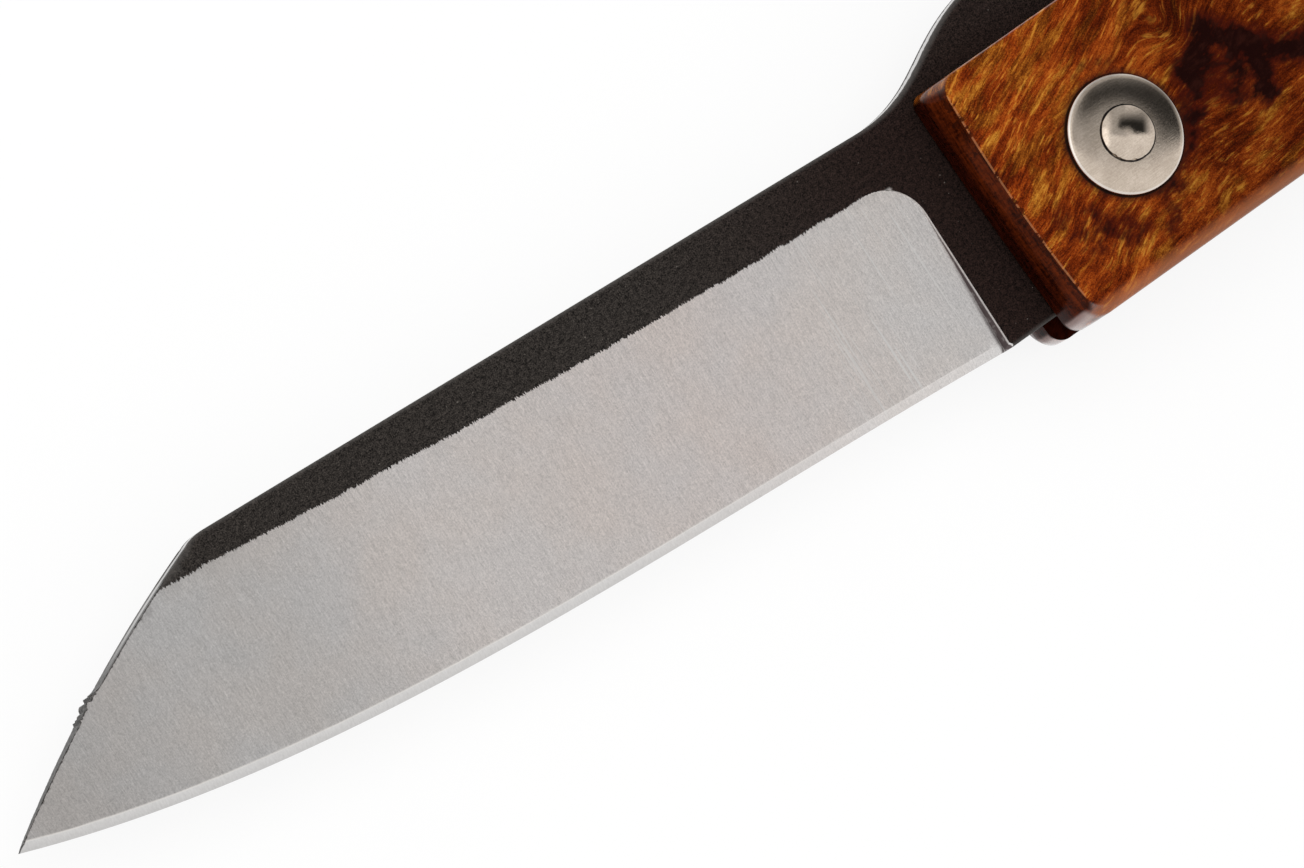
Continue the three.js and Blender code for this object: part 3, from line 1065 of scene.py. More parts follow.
@dataclass(frozen=True)
class FiguredWood:
    """Polished figured wood: red-brown clouds, golden fibres, dark end grain and black heart, with painted
    shade, highlights and reflections at its ends and edges.

    Two colours run from dark to light.

    Attributes:
        veins_from: Where along the handle the long dark veins begin.
        reds: The red wood, with the places of its tones.
        gold: The brightest fibres.
        deeper: How the wood deepens away from the front's back corner, as factors.
        bends: Slow bends and light ripples of the grain: clouds to a unit, and their reach.
        layers: Clouds, bundles, streaks and fibres along the grain, with their weights.
        base: Tone that all the layers swing about.
    """

    sizes: Sizes
    veins_from: float
    reds: Stops = (
        (0.14, (0.026, 0.0026, 0.0007)),
        (0.34, (0.080, 0.0100, 0.0012)),
        (0.50, (0.172, 0.0262, 0.0028)),
        (0.66, (0.290, 0.0590, 0.0065)),
        (0.86, (0.420, 0.1180, 0.0140)),
    )
    golds: Stops = (
        (0.14, (0.030, 0.0055, 0.0009)),
        (0.34, (0.098, 0.0220, 0.0022)),
        (0.50, (0.200, 0.0540, 0.0052)),
        (0.66, (0.330, 0.1180, 0.0125)),
        (0.86, (0.470, 0.2150, 0.0300)),
    )
    gold: Colour = (0.52, 0.245, 0.032)
    tick: Colour = (0.030, 0.0042, 0.0012)
    deeper: Stops = ((0.0, (1.1, 1.06, 1.0)), (0.5, (0.98, 0.94, 0.9)), (1.0, (0.65, 0.62, 0.6)))
    heart: Pair = ((0.0085, 0.0016, 0.0012), (0.019, 0.0042, 0.0027))
    halo: Colour = (0.038, 0.0040, 0.0018)
    stain: Colour = (0.02, 0.006, 0.004)
    seat_line: Colour = (0.004, 0.003, 0.0025)
    rubbed_edge: Colour = (0.34, 0.125, 0.055)
    rubbed_corner: Colour = (0.31, 0.225, 0.21)
    # Painted shade: the end grain's lower part and the inner face.
    low_end: Pair = ((0.0045, 0.0008, 0.0004), (0.034, 0.0046, 0.0015))
    high_end: Pair = ((0.014, 0.0018, 0.0006), (0.104, 0.0160, 0.0026))
    chip: Colour = (0.022, 0.0045, 0.002)
    # Painted highlight along the front end's crease.
    crease: Colour = (0.42, 0.19, 0.085)
    bends: tuple[tuple[float, Triple], ...] = ((0.15, (1.2, 1.9, 1.2)), (0.6, (0.3, 0.16, 0.3)))
    layers: tuple[tuple[Clouds, float], ...] = (
        (Clouds((0.20, 0.38, 0.3), 2.0, 0.5), 0.80),
        (Clouds((0.36, 1.35, 0.9), 2.0, 0.5), 0.62),
        (Clouds((0.66, 4.4, 2.0), 3.0, 0.65), 0.70),
        (Clouds((1.6, 9.5, 5.0), 4.0, 0.75), 0.60),
    )
    pores: tuple[Clouds, float] = (Clouds(11.0, 2.0, 0.8), 0.75)
    base: float = 0.485
    gloss: Point = (0.16, 0.26)
    relief: float = 0.005

    def material(self, name: str, datum: Datum) -> bpy.types.Material:
        """Draw the finish.

        Args:
            name: Name of the material.
            datum: Where the drawing stands.

        Returns:
            The material.
        """
        g = Surface(name, datum)
        flow = self._flow(g)
        layers = [g.clouds(pattern, flow) for pattern, _ in self.layers]
        streak, fibre = layers[2:]
        colour = self._long_grain(g, flow, layers)
        colour = self._figure(g, flow, colour)
        colour = self._washer_seat(g, colour)
        # Painted highlight along the rounded belly edge.
        colour = g.mix(self._belly_edge(g) * 0.6, colour, self.rubbed_edge)
        colour = self._end_grain(g, streak, colour)
        colour = self._front_crease(g, colour)
        colour = self._paled_corner(g, colour)
        return g.finish(
            {
                "Base Color": colour,
                "Roughness": g.blend(fibre, *self.gloss),
                "Normal": g.bump(streak * 0.5 + fibre * 0.5, self.relief),
                "Specular IOR Level": 0.03,
                "Coat Weight": self._lacquer(g),
                "Coat Roughness": 0.1,
                "Coat IOR": 2.0,
            }
        )

    def _flow(self, g: Surface) -> Value:
        """Bend and ripple the grain's coordinates.

        Args:
            g: The node tree.

        Returns:
            The bent coordinates.
        """
        grain = g.note("grain", "Vector")
        flow = grain
        for scale, reach in self.bends:
            swirl = g.clouds(Clouds(scale, 1.0), grain, "Color")
            swing = g.vector("SUBTRACT", swirl, (0.5, 0.5, 0.5))
            flow = g.vector("ADD", flow, g.vector("MULTIPLY", swing, reach))
        return flow

    def _long_grain(self, g: Surface, flow: Value, layers: list[Value]) -> Value:
        """Draw the red and golden wood of the long grain.

        Args:
            g: The node tree.
            flow: The bent coordinates of the grain.
            layers: Clouds, bundles, streaks and fibres.

        Returns:
            Its colour.
        """
        swings = [layer.swing(weight) for layer, (_, weight) in zip(layers, self.layers)]
        pores, weight = self.pores
        tone = sum(swings, g.texture(pores).swing(weight) + self.base)
        away = g.math("DIVIDE", g.x + 9.0 - g.y * 0.6, 16.0, clamp=True)
        gilt = g.clouds(Clouds((0.30, 0.9, 0.5), 3.0, 0.6, shift=(11.0, 3.0, 0.0)), flow)
        gilt = gilt + g.y.rise(4.5, 8.0) * 0.05 - away * 0.08
        colour = g.mix(gilt.rise(0.45, 0.61), g.ramp(tone, self.reds), g.ramp(tone, self.golds))
        bundle, streak = layers[1:3]
        colour = g.mix(streak.rise(0.54, 0.66) * bundle.rise(0.44, 0.58) * 0.55, colour, self.gold)
        ticks = g.clouds(Clouds((1.5, 7.5, 3.0), 1.0, shift=(3.1, 5.7, 0.0)), flow)
        colour = g.mix(ticks.rise(0.6, 0.68) * 0.42, colour, self.tick)
        return g.tint(colour, g.ramp(away, self.deeper))

    def _figure(self, g: Surface, flow: Value, colour: Value) -> Value:
        """Lay the blotchy black heart and the long dark veins over the wood.

        Args:
            g: The node tree.
            flow: The bent coordinates of the grain.
            colour: Colour of the wood.

        Returns:
            The colour with the figure.
        """
        torn = g.clouds(Clouds((0.9, 2.6, 1.0), 3.0, 0.6), flow)
        band = g.clouds(Clouds((0.045, 0.30, 0.2), shift=(7.3, 2.1, 0.0)), flow)
        vein = band.rise(0.53, 0.68) * g.x.rise(self.veins_from, self.veins_from + 5.0)
        dark = g.note("heart").larger(vein * 0.9)
        swing = g.texture(Clouds(0.62, 3.0, 0.6)).swing(1.3) + torn.swing(1.0)
        dark = dark + swing * dark.rise(0.05, 0.3)
        colour = g.mix(dark.rise(0.08, 0.50) * 0.85, colour, self.halo)
        return g.mix(dark.rise(0.40, 0.72), colour, g.mix(torn.rise(0.46, 0.74), *self.heart))

    def _washer_seat(self, g: Surface, colour: Value) -> Value:
        """Paint shade on the wood close round the domed washer, and most under its rim."""
        # Painted shade round the washer, where it would cast its shadow.
        colour = g.mix(g.radius.fall(3.95, 4.7) * 0.75, colour, self.stain)
        # Painted shade as a dark line right at the washer's rim.
        return g.mix(g.radius.fall(4.06, 4.19) * 0.85, colour, self.seat_line)

    def _belly_edge(self, g: Surface) -> Value:
        """Share of the rounded edge between the outer face and the belly."""
        belly, top = self.sizes.belly_depth, self.sizes.handle_half
        return (-g.y).rise(belly - 1.2, belly - 0.35) * g.level.rise(top - 1.3, top - 0.7)

    def _end_grain(self, g: Surface, streak: Value, colour: Value) -> Value:
        """Darken the end grain, with painted shade on its lower part, and paint shade over the inner face.

        Args:
            g: The node tree.
            streak: The wood's streaks.
            colour: Colour of the long grain.

        Returns:
            The colour with the end grain.
        """
        top, inner = self.sizes.handle_half, self.sizes.slot_half
        foot = top - self.sizes.front_bevel_height
        grain = g.texture(Clouds((0.8, 0.42, 3.0), 3.0, 0.65)) * 0.6 + streak * 0.4
        low = g.tones(grain, self.low_end, 0.38, 0.62)
        high = g.tones(grain, self.high_end, 0.38, 0.62)
        end = g.note("front").fall(0.05, 0.3) * g.level.fall(top - 0.055, top - 0.015)
        # End grain, with painted shade growing towards its foot near the blade.
        colour = g.mix(end, colour, g.mix(g.level.rise(foot - 1.2, foot + 0.9), low, high))
        # Painted shade over the inner face, in the slot beside the blade.
        return g.mix(g.level.fall(inner + 0.01, inner + 0.1), colour, low)

    def _front_crease(self, g: Surface, colour: Value) -> Value:
        """Paint a highlight along the crease of the front end, and bite small chips out of it.

        Args:
            g: The node tree.
            colour: Colour of the wood.

        Returns:
            The colour with the crease.
        """
        top, behind = self.sizes.handle_half, g.note("front")
        notch = g.texture(Clouds((0.8, 1.25, 0.9), 3.0, 0.7))
        chipped = notch.rise(0.52, 0.56)
        depth = notch.swing(5.0) + 0.25
        bite = (notch - 0.54) * 1.7
        band = (behind - bite).fall(0.03, 0.07) * (g.level - top + depth).rise(0.0, 0.1)
        colour = g.mix(band * chipped * 0.7, colour, self.chip)
        # Painted highlight on the crease, broken where chips bite it.
        crease = g.level.rise(top - 0.06, top - 0.03) * (1.0 - chipped) * behind.fall(0.03, 0.06)
        return g.mix(crease * 0.38, colour, self.crease)

    def _paled_corner(self, g: Surface, colour: Value) -> Value:
        """Paint a pale reflection on the round corner between the front end and the belly.

        Args:
            g: The node tree.
            colour: Colour of the wood.

        Returns:
            The colour with the painted reflection.
        """
        belly, top, inner = self.sizes.belly_depth, self.sizes.handle_half, self.sizes.slot_half
        low = (-g.y).rise(belly - 1.15, belly - 0.85)
        close = g.note("front").window((-0.02, 0.04), (0.32, 0.6))
        under = g.level.window((inner + 0.04, inner + 0.3), (top - 1.2, top - 0.6))
        # Painted reflection of the pale table on the round corner.
        return g.mix(low * close * under * 0.8, colour, self.rubbed_corner)

    def _lacquer(self, g: Surface) -> Value:
        """Gloss of the rounded sides.

        Args:
            g: The node tree.

        Returns:
            Its share, 0 on the rubbed outer face, the end grain and the inner face.
        """
        top, inner, behind = self.sizes.handle_half, self.sizes.slot_half, g.note("front")
        back_corner = g.y.rise(8.2, 8.9) * behind.fall(1.2, 2.4)
        rubbed = (self._belly_edge(g) * 0.85).larger(back_corner * 0.7)
        sides = g.level.fall(top - 0.16, top - 0.04) * (1.0 - rubbed)
        return sides * g.level.rise(inner + 0.02, inner + 0.1) * behind.rise(0.04, 0.25)


@dataclass(frozen=True)
class PolishedNickel:
    """Polished nickel silver with fine lines and small pits.

    Attributes:
        seat: Radius of the painted dark line of shade round the pin's head, or 0 for a plain piece.
        rim: Radius from which a highlight is painted on the washer's rim, where there is a seat.
    """

    colour: Pair = ((0.50, 0.415, 0.335), (0.70, 0.595, 0.495))
    roughness: Point = (0.09, 0.2)
    seat: float = 0.0
    rim: float = 0.0
    seat_line: Colour = (0.03, 0.026, 0.024)
    burnished: Colour = (0.90, 0.86, 0.82)
    relief: float = 0.0045

    def material(self, name: str, datum: Datum) -> bpy.types.Material:
        """Draw the finish.

        Args:
            name: Name of the material.
            datum: Where the drawing stands.

        Returns:
            The material.
        """
        g = Surface(name, datum)
        lines = g.texture(Clouds((1.2, 18.0, 4.0)))
        wear = g.texture(Clouds(7.0, 4.0, 0.75)) * 0.6 + lines * 0.4
        colour = g.tones(g.blend(0.3, wear, g.texture(Clouds(0.8))), self.colour, 0.38, 0.60)
        rough = g.blend(wear, *self.roughness)
        if self.seat:
            colour = self._rings(g, colour)
            rough = rough * g.blend(g.radius.rise(self.seat - 0.05, self.seat), 0.25, 1.0)
        return g.finish(
            {
                "Base Color": colour,
                "Metallic": 1.0,
                "Roughness": rough,
                "Normal": g.bump(wear, self.relief),
            }
        )

    def _rings(self, g: Surface, colour: Value) -> Value:
        """Paint a highlight on the washer's rim and a dark uneven line of shade round the pin's head.

        Args:
            g: The node tree.
            colour: Colour of the metal.

        Returns:
            The colour with both rings.
        """
        # Painted highlight on the washer's rounded rim.
        colour = g.mix(g.radius.rise(self.rim - 0.03, self.rim) * 0.45, colour, self.burnished)
        # Painted shade in the crevice round the pin's head.
        uneven = g.texture(Clouds(1.3, 3.0)).swing(0.12)
        away = abs(g.radius - (self.seat + 0.035)) + uneven
        return g.mix(away.fall(0.03, 0.075), colour, self.seat_line)


@dataclass(frozen=True)
class BrushedMetal:
    """Plain metal with brushing along the handle."""

    name: str
    colour: Pair
    roughness: Point
    relief: float = 0.006

    def material(self, datum: Datum) -> bpy.types.Material:
        """Draw the finish.

        Args:
            datum: Where the drawing stands.

        Returns:
            The material.
        """
        g = Surface(self.name, datum)
        lines = g.texture(Clouds((0.5, 14.0, 14.0), 4.0, 0.65))
        cloud = g.texture(Clouds(0.5, 3.0, 0.6))
        return g.finish(
            {
                "Base Color": g.tones(g.blend(0.4, lines, cloud), self.colour, 0.3, 0.7),
                "Metallic": 1.0,
                "Roughness": g.blend(lines, *self.roughness),
                "Normal": g.bump(lines, self.relief),
            }
        )


@dataclass
class SubAssembly:
    """What every sub-assembly of the knife has.

    Attributes:
        datum: Where the drawing stands.
        sizes: The shared sizes.
    """

    datum: Datum
    sizes: Sizes

    @staticmethod
    def hand_over(
        piece: bpy.types.Object, finish: bpy.types.Material, body: Body, node: str, slot: Slot
    ) -> bpy.types.Object:
        """Give a piece its finish and its place in the frame.

        Args:
            piece: The piece.
            finish: Its material.
            body: The body that it rides on.
            node: The CAD node that it stands for.
            slot: Its material slot; not used.

        Returns:
            The same piece.
        """
        piece.data.materials.append(finish)
        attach(piece, body.value)
        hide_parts(node)
        return piece


@dataclass
class Forging(SubAssembly):
    """The blade with its ricasso, tang and thumb lever.

    A length that ends in "reach" goes from the pivot axis towards the tip, and one that ends
    in "behind" towards the butt. A height of the lever is taken over the handle's back. An
    "ease" is the length of a curve's control line.

    Attributes:
        heel_tangent: Control line of the edge at the heel: length and degrees.
        band_at_heel: Width of the black band over the grind, here at the heel.
        band_bow: How far that band hangs under the grind line in its middle.
        edge_land: Half the thickness that is left at the very edge.
        burr_place: Middle of the burr's largest lump, counted from the point.
    """

    blade_reach: float = 87.3
    tip_rise: float = 3.1
    clip_run: float = 21.1
    clip_bulge: float = 0.6
    spine_corner_ease: float = 0.8
    spine_rise_degrees: float = 3.5
    heel_reach: float = 12.9
    ricasso_depth: float = 7.05
    heel_tangent: Point = (26.9, 5.2)
    tip_tangent: Point = (23.3, 19.9)
    band_at_heel: float = 3.7
    band_at_clip: float = 2.0
    band_bow: float = 0.5
    grind_corner_radius: float = 3.0
    plunge_reach: float = 12.5
    plunge_lean_degrees: float = 3.3
    plunge_wall_width: float = 0.25
    edge_half_thickness: float = 0.12
    edge_half_angle_degrees: float = 20.5
    edge_land: float = 0.02
    lever_rest_gap: float = 0.3
    shoulder_reach: float = 13.4
    shoulder_ease_in: float = 6.6
    shoulder_ease_out: float = 8.3
    shoulder_behind: float = 2.3
    shoulder_height: float = 4.2
    dip_behind: float = 13.5
    dip_height: float = 3.3
    dip_ease: float = 4.5
    tail_behind: float = 24.5
    tail_height: float = 4.5
    tail_top: float = 1.6
    underside_ease: float = 1.5
    neck_behind: float = 8.3
    neck_ease: float = 0.9
    tang_back_degrees: float = 35.0
    arris_radius: float = 0.34
    clip_arris: float = 0.08
    burr_place: float = 10.7
    burr_reach: float = 0.32
    fine_burr: float = 0.022
    outline_step: float = 0.4
    clip_step: float = 0.13
    face_spacing: float = 0.6

    @property
    def tip(self) -> Rows:
        """The point of the blade."""
        return np.array([-self.blade_reach, self.tip_rise])

    @property
    def heel(self) -> Rows:
        """The butt end of the cutting edge."""
        return np.array([-self.heel_reach, -self.ricasso_depth])

    @property
    def clip_x(self) -> float:
        """Where along the blade the clip meets the spine."""
        return self.clip_run - self.blade_reach

    @property
    def rest_y(self) -> float:
        """Height of the lever's underside."""
        return self.sizes.back_height + self.lever_rest_gap

    @property
    def edge_slope(self) -> float:
        """Rise of the honed edge's faces."""
        return math.tan(math.radians(self.edge_half_angle_degrees))

    @property
    def wall_slope(self) -> float:
        """Rise of the plunge wall."""
        return (self.sizes.stock_half - self.edge_half_thickness) / self.plunge_wall_width

    def spine(self, x: Rows) -> Rows:
        """Height of the spine over the pivot axis."""
        slope = math.tan(math.radians(self.spine_rise_degrees))
        return self.sizes.back_height - (self.sizes.front_reach + x) * slope

    def grind_line(self, x: Rows) -> Rows:
        """Height at which the main grind starts.

        Args:
            x: Places along the blade.

        Returns:
            One height for each.
        """
        at_heel = self.spine(-self.plunge_reach) - self.band_at_heel
        at_clip = self.spine(self.clip_x) - self.band_at_clip
        return at_heel + (x + self.plunge_reach) / (self.clip_x + self.plunge_reach) * (at_clip - at_heel)

    def skin_border(self, x: Rows) -> Rows:
        """Height at which the black skin ends, a little under the grind line."""
        middle = (x + self.plunge_reach) / (self.clip_x + self.plunge_reach)
        return self.grind_line(x) - self.band_bow * np.clip(4 * middle * (1 - middle), 0, 1)

    def plunge_foot(self, y: Rows) -> Rows:
        """Place along the blade of the plunge wall's foot."""
        lean = math.tan(math.radians(self.plunge_lean_degrees))
        return -self.plunge_reach - lean * (self.grind_line(-self.plunge_reach) - y)

    def edge_controls(self) -> tuple[Rows, Rows]:
        """Control places of the cutting edge, from heel to tip.

        Returns:
            The one near the heel and the one near the tip.
        """
        (heel_length, heel_degrees), (tip_length, tip_degrees) = self.heel_tangent, self.tip_tangent
        near_heel = self.heel + polar(heel_length, 180 - heel_degrees)
        return near_heel, self.tip + polar(tip_length, -tip_degrees)

    def outline(self) -> Outline:
        """Draw the outline, clockwise from the tip.

        Returns:
            The outline.
        """
        pen = Pen(self.clip_step, Zone.CLIP)
        corner = np.array([self.clip_x, self.spine(self.clip_x)])
        chord = corner - self.tip
        ahead = chord / np.linalg.norm(chord)
        bow = (self.tip + corner) / 2 + np.array([-ahead[1], ahead[0]]) * 2 * self.clip_bulge
        pen.place(self.tip).quadratic(bow, corner - ahead * self.spine_corner_ease)
        pen.zone = Zone.SPINE
        spine_x = self.clip_x + self.spine_corner_ease
        pen.quadratic(corner, (spine_x, self.spine(spine_x)))
        pen.step = self.outline_step
        pen.line((-self.shoulder_reach, self.spine(-self.shoulder_reach)))
        pen.zone = Zone.LEVER
        self._lever(pen)
        pen.zone = Zone.TANG
        tang = polar(self.ricasso_depth, self.tang_back_degrees)
        dip, neck = (np.array([x, self.rest_y]) for x in (self.dip_behind, self.neck_behind))
        pen.corner(dip, neck, tang, self.neck_ease).line(tang)
        pen.arc(self.ricasso_depth, self.tang_back_degrees, -90.0).line(self.heel)
        pen.zone = Zone.EDGE
        pen.cubic(*self.edge_controls(), self.tip)
        return pen.outline()

    def _lever(self, pen: Pen) -> None:
        """Draw the thumb lever, from the spine round to its underside.

        Args:
            pen: The pen, where the lever leaves the spine.
        """
        heights = (self.shoulder_height, self.dip_height, self.tail_height)
        top, dip, crest = (self.sizes.back_height + height for height in heights)
        ease_x = -self.shoulder_reach + self.shoulder_ease_in
        pen.cubic(
            (ease_x, self.spine(ease_x)),
            (self.shoulder_behind - self.shoulder_ease_out, top),
            (self.shoulder_behind, top),
        )
        waves = ((self.shoulder_behind, top), (self.dip_behind, dip), (self.tail_behind, crest))
        for (x0, y0), (x1, y1) in zip(waves, waves[1:]):
            pen.cubic((x0 + self.dip_ease, y0), (x1 - self.dip_ease, y1), (x1, y1))
        tail_x = self.tail_behind + self.tail_top
        pen.quadratic((tail_x, crest), (tail_x, crest - self.tail_top))
        pen.cubic(
            (tail_x, self.rest_y + self.underside_ease),
            (tail_x - self.underside_ease, self.rest_y),
            (self.dip_behind, self.rest_y),
        )

    def burred(self, outline: Outline) -> Outline:
        """Push the clip's line out where a rough burr stands on it.

        Args:
            outline: The smooth outline.

        Returns:
            The outline with its burr.
        """
        clip = [i for i, zone in enumerate(outline.zones) if zone is Zone.CLIP][2:-2]
        line = outline.points[clip]
        along = np.linalg.norm(line - outline.points[0], axis=1)
        lump = np.exp(-(((along - self.burr_place) / 0.75) ** 2)) * self.burr_reach
        lump += np.exp(-(((along - self.burr_place + 1.3) / 0.35) ** 2)) * 0.5 * self.burr_reach
        fine = self.fine_burr * (1 - smooth(along, 12.0, 16.0))
        reach = (lump + fine) * np.random.default_rng(7).uniform(0.15, 1.0, len(clip))
        rough = outline.points.copy()
        rough[clip] -= right_hand(line) * reach[:, None]
        return Outline(rough, outline.zones)

    def _corner_depth(self, points: Rows, line: Rule) -> Rows:
        """Depth inside the ground area, rounded where the plunge meets the grind line.

        Args:
            points: Rows of x, y.
            line: Height of the upper border along the blade.

        Returns:
            Depth for each point, below 0 outside.
        """
        below = line(points[:, 0]) - points[:, 1]
        ahead = self.plunge_foot(points[:, 1]) - points[:, 0]
        radius = self.grind_corner_radius
        rounded = radius - np.hypot(np.maximum(radius - below, 0), np.maximum(radius - ahead, 0))
        both = (below < radius) & (ahead < radius)
        return np.where(both, rounded, np.minimum(below, ahead))

    def _edge_distance(self, points: Rows) -> Rows:
        """Distance from the cutting edge."""
        pen = Pen(self.outline_step).place(self.heel).cubic(*self.edge_controls(), self.tip)
        return distance_to_line(points, np.array(pen.points))

    def _floor(self, points: Rows, edge: Rows) -> Rows:
        """Height of the bevel, which runs straight from the honed edge up to the grind line.

        Args:
            points: Rows of x, y.
            edge: Distance of each from the cutting edge.

        Returns:
            Height over the middle plane.
        """
        honed = self.edge_land + self.sizes.honed_width * self.edge_slope
        below = self.grind_line(points[:, 0]) - points[:, 1]
        up = np.maximum(edge - self.sizes.honed_width, 0)
        share = up / np.maximum(up + below, 0.3)
        return honed + (self.sizes.stock_half - honed) * np.clip(share, 0, 1.5)

    def notes(self, outline: Outline) -> dict[str, Rule]:
        """List what the finish reads from the mesh.

        Args:
            outline: The outline.

        Returns:
            ground: depth inside the bright faces; grind: depth inside the grind; tooth: how
            ragged the border is; rim and clip: nearness to the outline and to the clip; edge:
            distance from the cutting edge.
        """
        rim = outline.stretch(Zone.CLIP, *STOCK_ZONES)
        clip = outline.stretch(Zone.CLIP)
        return {
            "ground": lambda p: self._corner_depth(p[:, :2], self.skin_border),
            "grind": lambda p: self._corner_depth(p[:, :2], self.grind_line),
            "tooth": lambda p: 0.1 + 0.9 * smooth(self.plunge_foot(p[:, 1]) - p[:, 0], 1.2, 6.0),
            "rim": lambda p: 1.0 - np.clip(distance_to_line(p[:, :2], rim) / self.arris_radius, 0, 1),
            "clip": lambda p: 1.0 - np.clip(distance_to_line(p[:, :2], clip) / 0.3, 0, 1),
            "edge": lambda p: self._edge_distance(p[:, :2]),
        }

    def heights(self, points: Rows, outline: Outline) -> Rows:
        """Half thickness of the forging.

        Args:
            points: Rows of x, y.
            outline: The outline.

        Returns:
            Height over the middle plane for each point.
        """
        edge = self._edge_distance(points)
        outside = np.maximum(-self._corner_depth(points, self.grind_line), 0)
        ground = self._floor(points, edge) + self.wall_slope * outside
        ahead = points[:, 0] <= self.plunge_foot(-self.ricasso_depth)
        bevel = np.where(ahead, self.edge_land + edge * self.edge_slope, self.sizes.stock_half)
        stock = self._rounded(points, outline.stretch(*STOCK_ZONES), self.arris_radius)
        clip = self._rounded(points, outline.stretch(Zone.CLIP), self.clip_arris)
        return np.maximum(np.minimum.reduce([ground, bevel, stock, clip]), self.edge_land)

    def _rounded(self, points: Rows, line: Rows, radius: float) -> Rows:
        """Full thickness with the edge along a line rounded."""
        near = np.minimum(distance_to_line(points, line), radius)
        return self.sizes.stock_half - radius + np.sqrt(np.maximum(radius**2 - (radius - near) ** 2, 0))

    def _seams(self, outline: Outline) -> list[Rows]:
        """Lines along which the faces bend.

        Args:
            outline: The smooth outline.

        Returns:
            The lines.
        """
        loop, clip, edge = outline.points, outline.stretch(Zone.CLIP), outline.stretch(Zone.EDGE)
        seams = []
        for degrees in (22.5, 45.0, 67.5, 90.0):
            depth = self.arris_radius * (1 - math.cos(math.radians(degrees)))
            seams += inset_line(outline.stretch(*STOCK_ZONES), loop, depth)
        seams += inset_line(clip, loop, self.clip_arris)
        seams += self._plunge_seams(loop)
        crease = edge + self.sizes.honed_width * right_hand(edge)
        keep = (crease[:, 0] < self.plunge_foot(-self.ricasso_depth) - 0.05) & inside(crease, loop)
        keep &= distance_to_line(crease, clip) > 0.15
        return [*seams, crease[keep]]

    def _plunge_seams(self, loop: Rows) -> list[Rows]:
        """The plunge wall's foot with the grind line that it runs into, and its top.

        Args:
            loop: The outline's places.

        Returns:
            Those lines, inside the outline.
        """
        low = np.array([self.plunge_foot(-self.ricasso_depth), -self.ricasso_depth])
        high, far = (np.array([x, self.grind_line(x)]) for x in (-self.plunge_reach, -self.blade_reach))
        pen = Pen(self.outline_step).place(low).corner(low, high, far, self.grind_corner_radius)
        foot = np.array(pen.line(far).points)
        foot = foot[np.abs(self._corner_depth(foot, self.grind_line)) < 0.2]
        floor = self._floor(foot, self._edge_distance(foot))
        width = np.maximum(self.sizes.stock_half - floor, 0) / self.wall_slope
        top = foot + width[:, None] * right_hand(foot)
        found = []
        for line in (foot, top[width > 0.01]):
            clear = distance_to_line(line, closed(loop)) > self.arris_radius + 0.01
            found.append(line[inside(line, loop) & clear])
        return found

    def _on_crease(self, points: Rows) -> Rows:
        """Tell which points lie on the honed edge's upper border."""
        return np.abs(self._edge_distance(points[:, :2]) - self.sizes.honed_width) < 0.012

    def mesh(self) -> bpy.types.Object:
        """Make the forging's mesh.

        Returns:
            The bare piece.
        """
        even = self.outline()
        outline = self.burred(even)
        bore = self.sizes.pivot_bore()
        sheet = Sheet.fill(outline.points, [bore], self._seams(even), self.face_spacing)
        heights = self.heights(sheet.points, outline)
        skin = Skin(self.datum)
        fronts = skin.cap(sheet, heights)
        backs = skin.cap(sheet, -heights, flip=True)
        for upper, lower, loop in zip(fronts, backs, sheet.loops):
            middle = skin.row(sheet.points[loop], 0.0)
            skin.bridge(upper, middle)
            skin.bridge(middle, lower)
        return skin.mesh("forged_blade", 30.0, self.notes(outline), self._on_crease)

    def build(self) -> list[bpy.types.Object]:
        """Make and dress the forging."""
        finish = ForgedSteel(self.sizes).material(self.datum)
        return [self.hand_over(self.mesh(), finish, Body.BLADE, "blade", Slot.BLADE)]


@dataclass(frozen=True)
class HeartVein:
    """A soft stroke of dark heart figure.

    Attributes:
        places: Places along it.
        radius: Where its darkness has fallen to about a third.
        strength: How dark it is, up to 1.
    """

    places: tuple[Point, ...]
    radius: float
    strength: float

    def shade(self, points: Rows) -> Rows:
        """Darkness at points, between 0 and the strength."""
        away = distance_to_line(points, np.array(self.places))
        return self.strength * np.exp(-((away / self.radius) ** 2))


@dataclass(frozen=True)
class Figure:
    """The dark figure of one scale: where its long veins begin, and its heart."""

    veins_from: float
    hearts: tuple[HeartVein, ...]


FIGURES = {
    Face.FRONT: Figure(
        14.0,
        (
            HeartVein(((6.3, 0.6), (7.3, 1.5), (8.9, 2.4)), 1.25, 0.86),
            HeartVein(((8.9, 2.3), (10.2, 1.1), (11.2, -0.4)), 1.2, 0.94),
            HeartVein(((11.2, -0.4), (10.5, -1.7), (9.9, -2.9)), 1.0, 0.86),
            HeartVein(((8.0, 0.3), (8.9, -1.2)), 2.0, 0.55),
            HeartVein(((11.2, -0.6), (13.1, -1.7), (15.2, -2.3), (18.5, -1.6)), 1.1, 0.78),
            HeartVein(((6.3, 0.6), (4.9, -1.3), (3.6, -2.6)), 1.2, 0.50),
            HeartVein(((3.6, -2.6), (1.6, -4.1), (0.1, -4.6)), 0.9, 0.46),
            HeartVein(((-0.2, -5.8), (-0.9, -6.8)), 0.7, 0.42),
            HeartVein(((-5.2, -2.7), (-4.0, -4.4)), 0.9, 0.30),
            HeartVein(((-0.6, 5.4), (1.8, 4.6)), 1.0, 0.24),
            HeartVein(((-6.4, -3.2), (-3.8, -5.2)), 2.1, 0.34),
            HeartVein(((-6.6, 3.6), (-4.8, 4.6)), 1.6, 0.15),
        ),
    ),
    Face.BACK: Figure(
        10.0,
        (
            HeartVein(((-5.0, 5.6), (-1.0, 4.6), (4.0, 2.8)), 1.2, 0.55),
            HeartVein(((9.0, -5.0), (13.0, -2.6), (18.0, -2.2)), 1.3, 0.70),
        ),
    ),
}


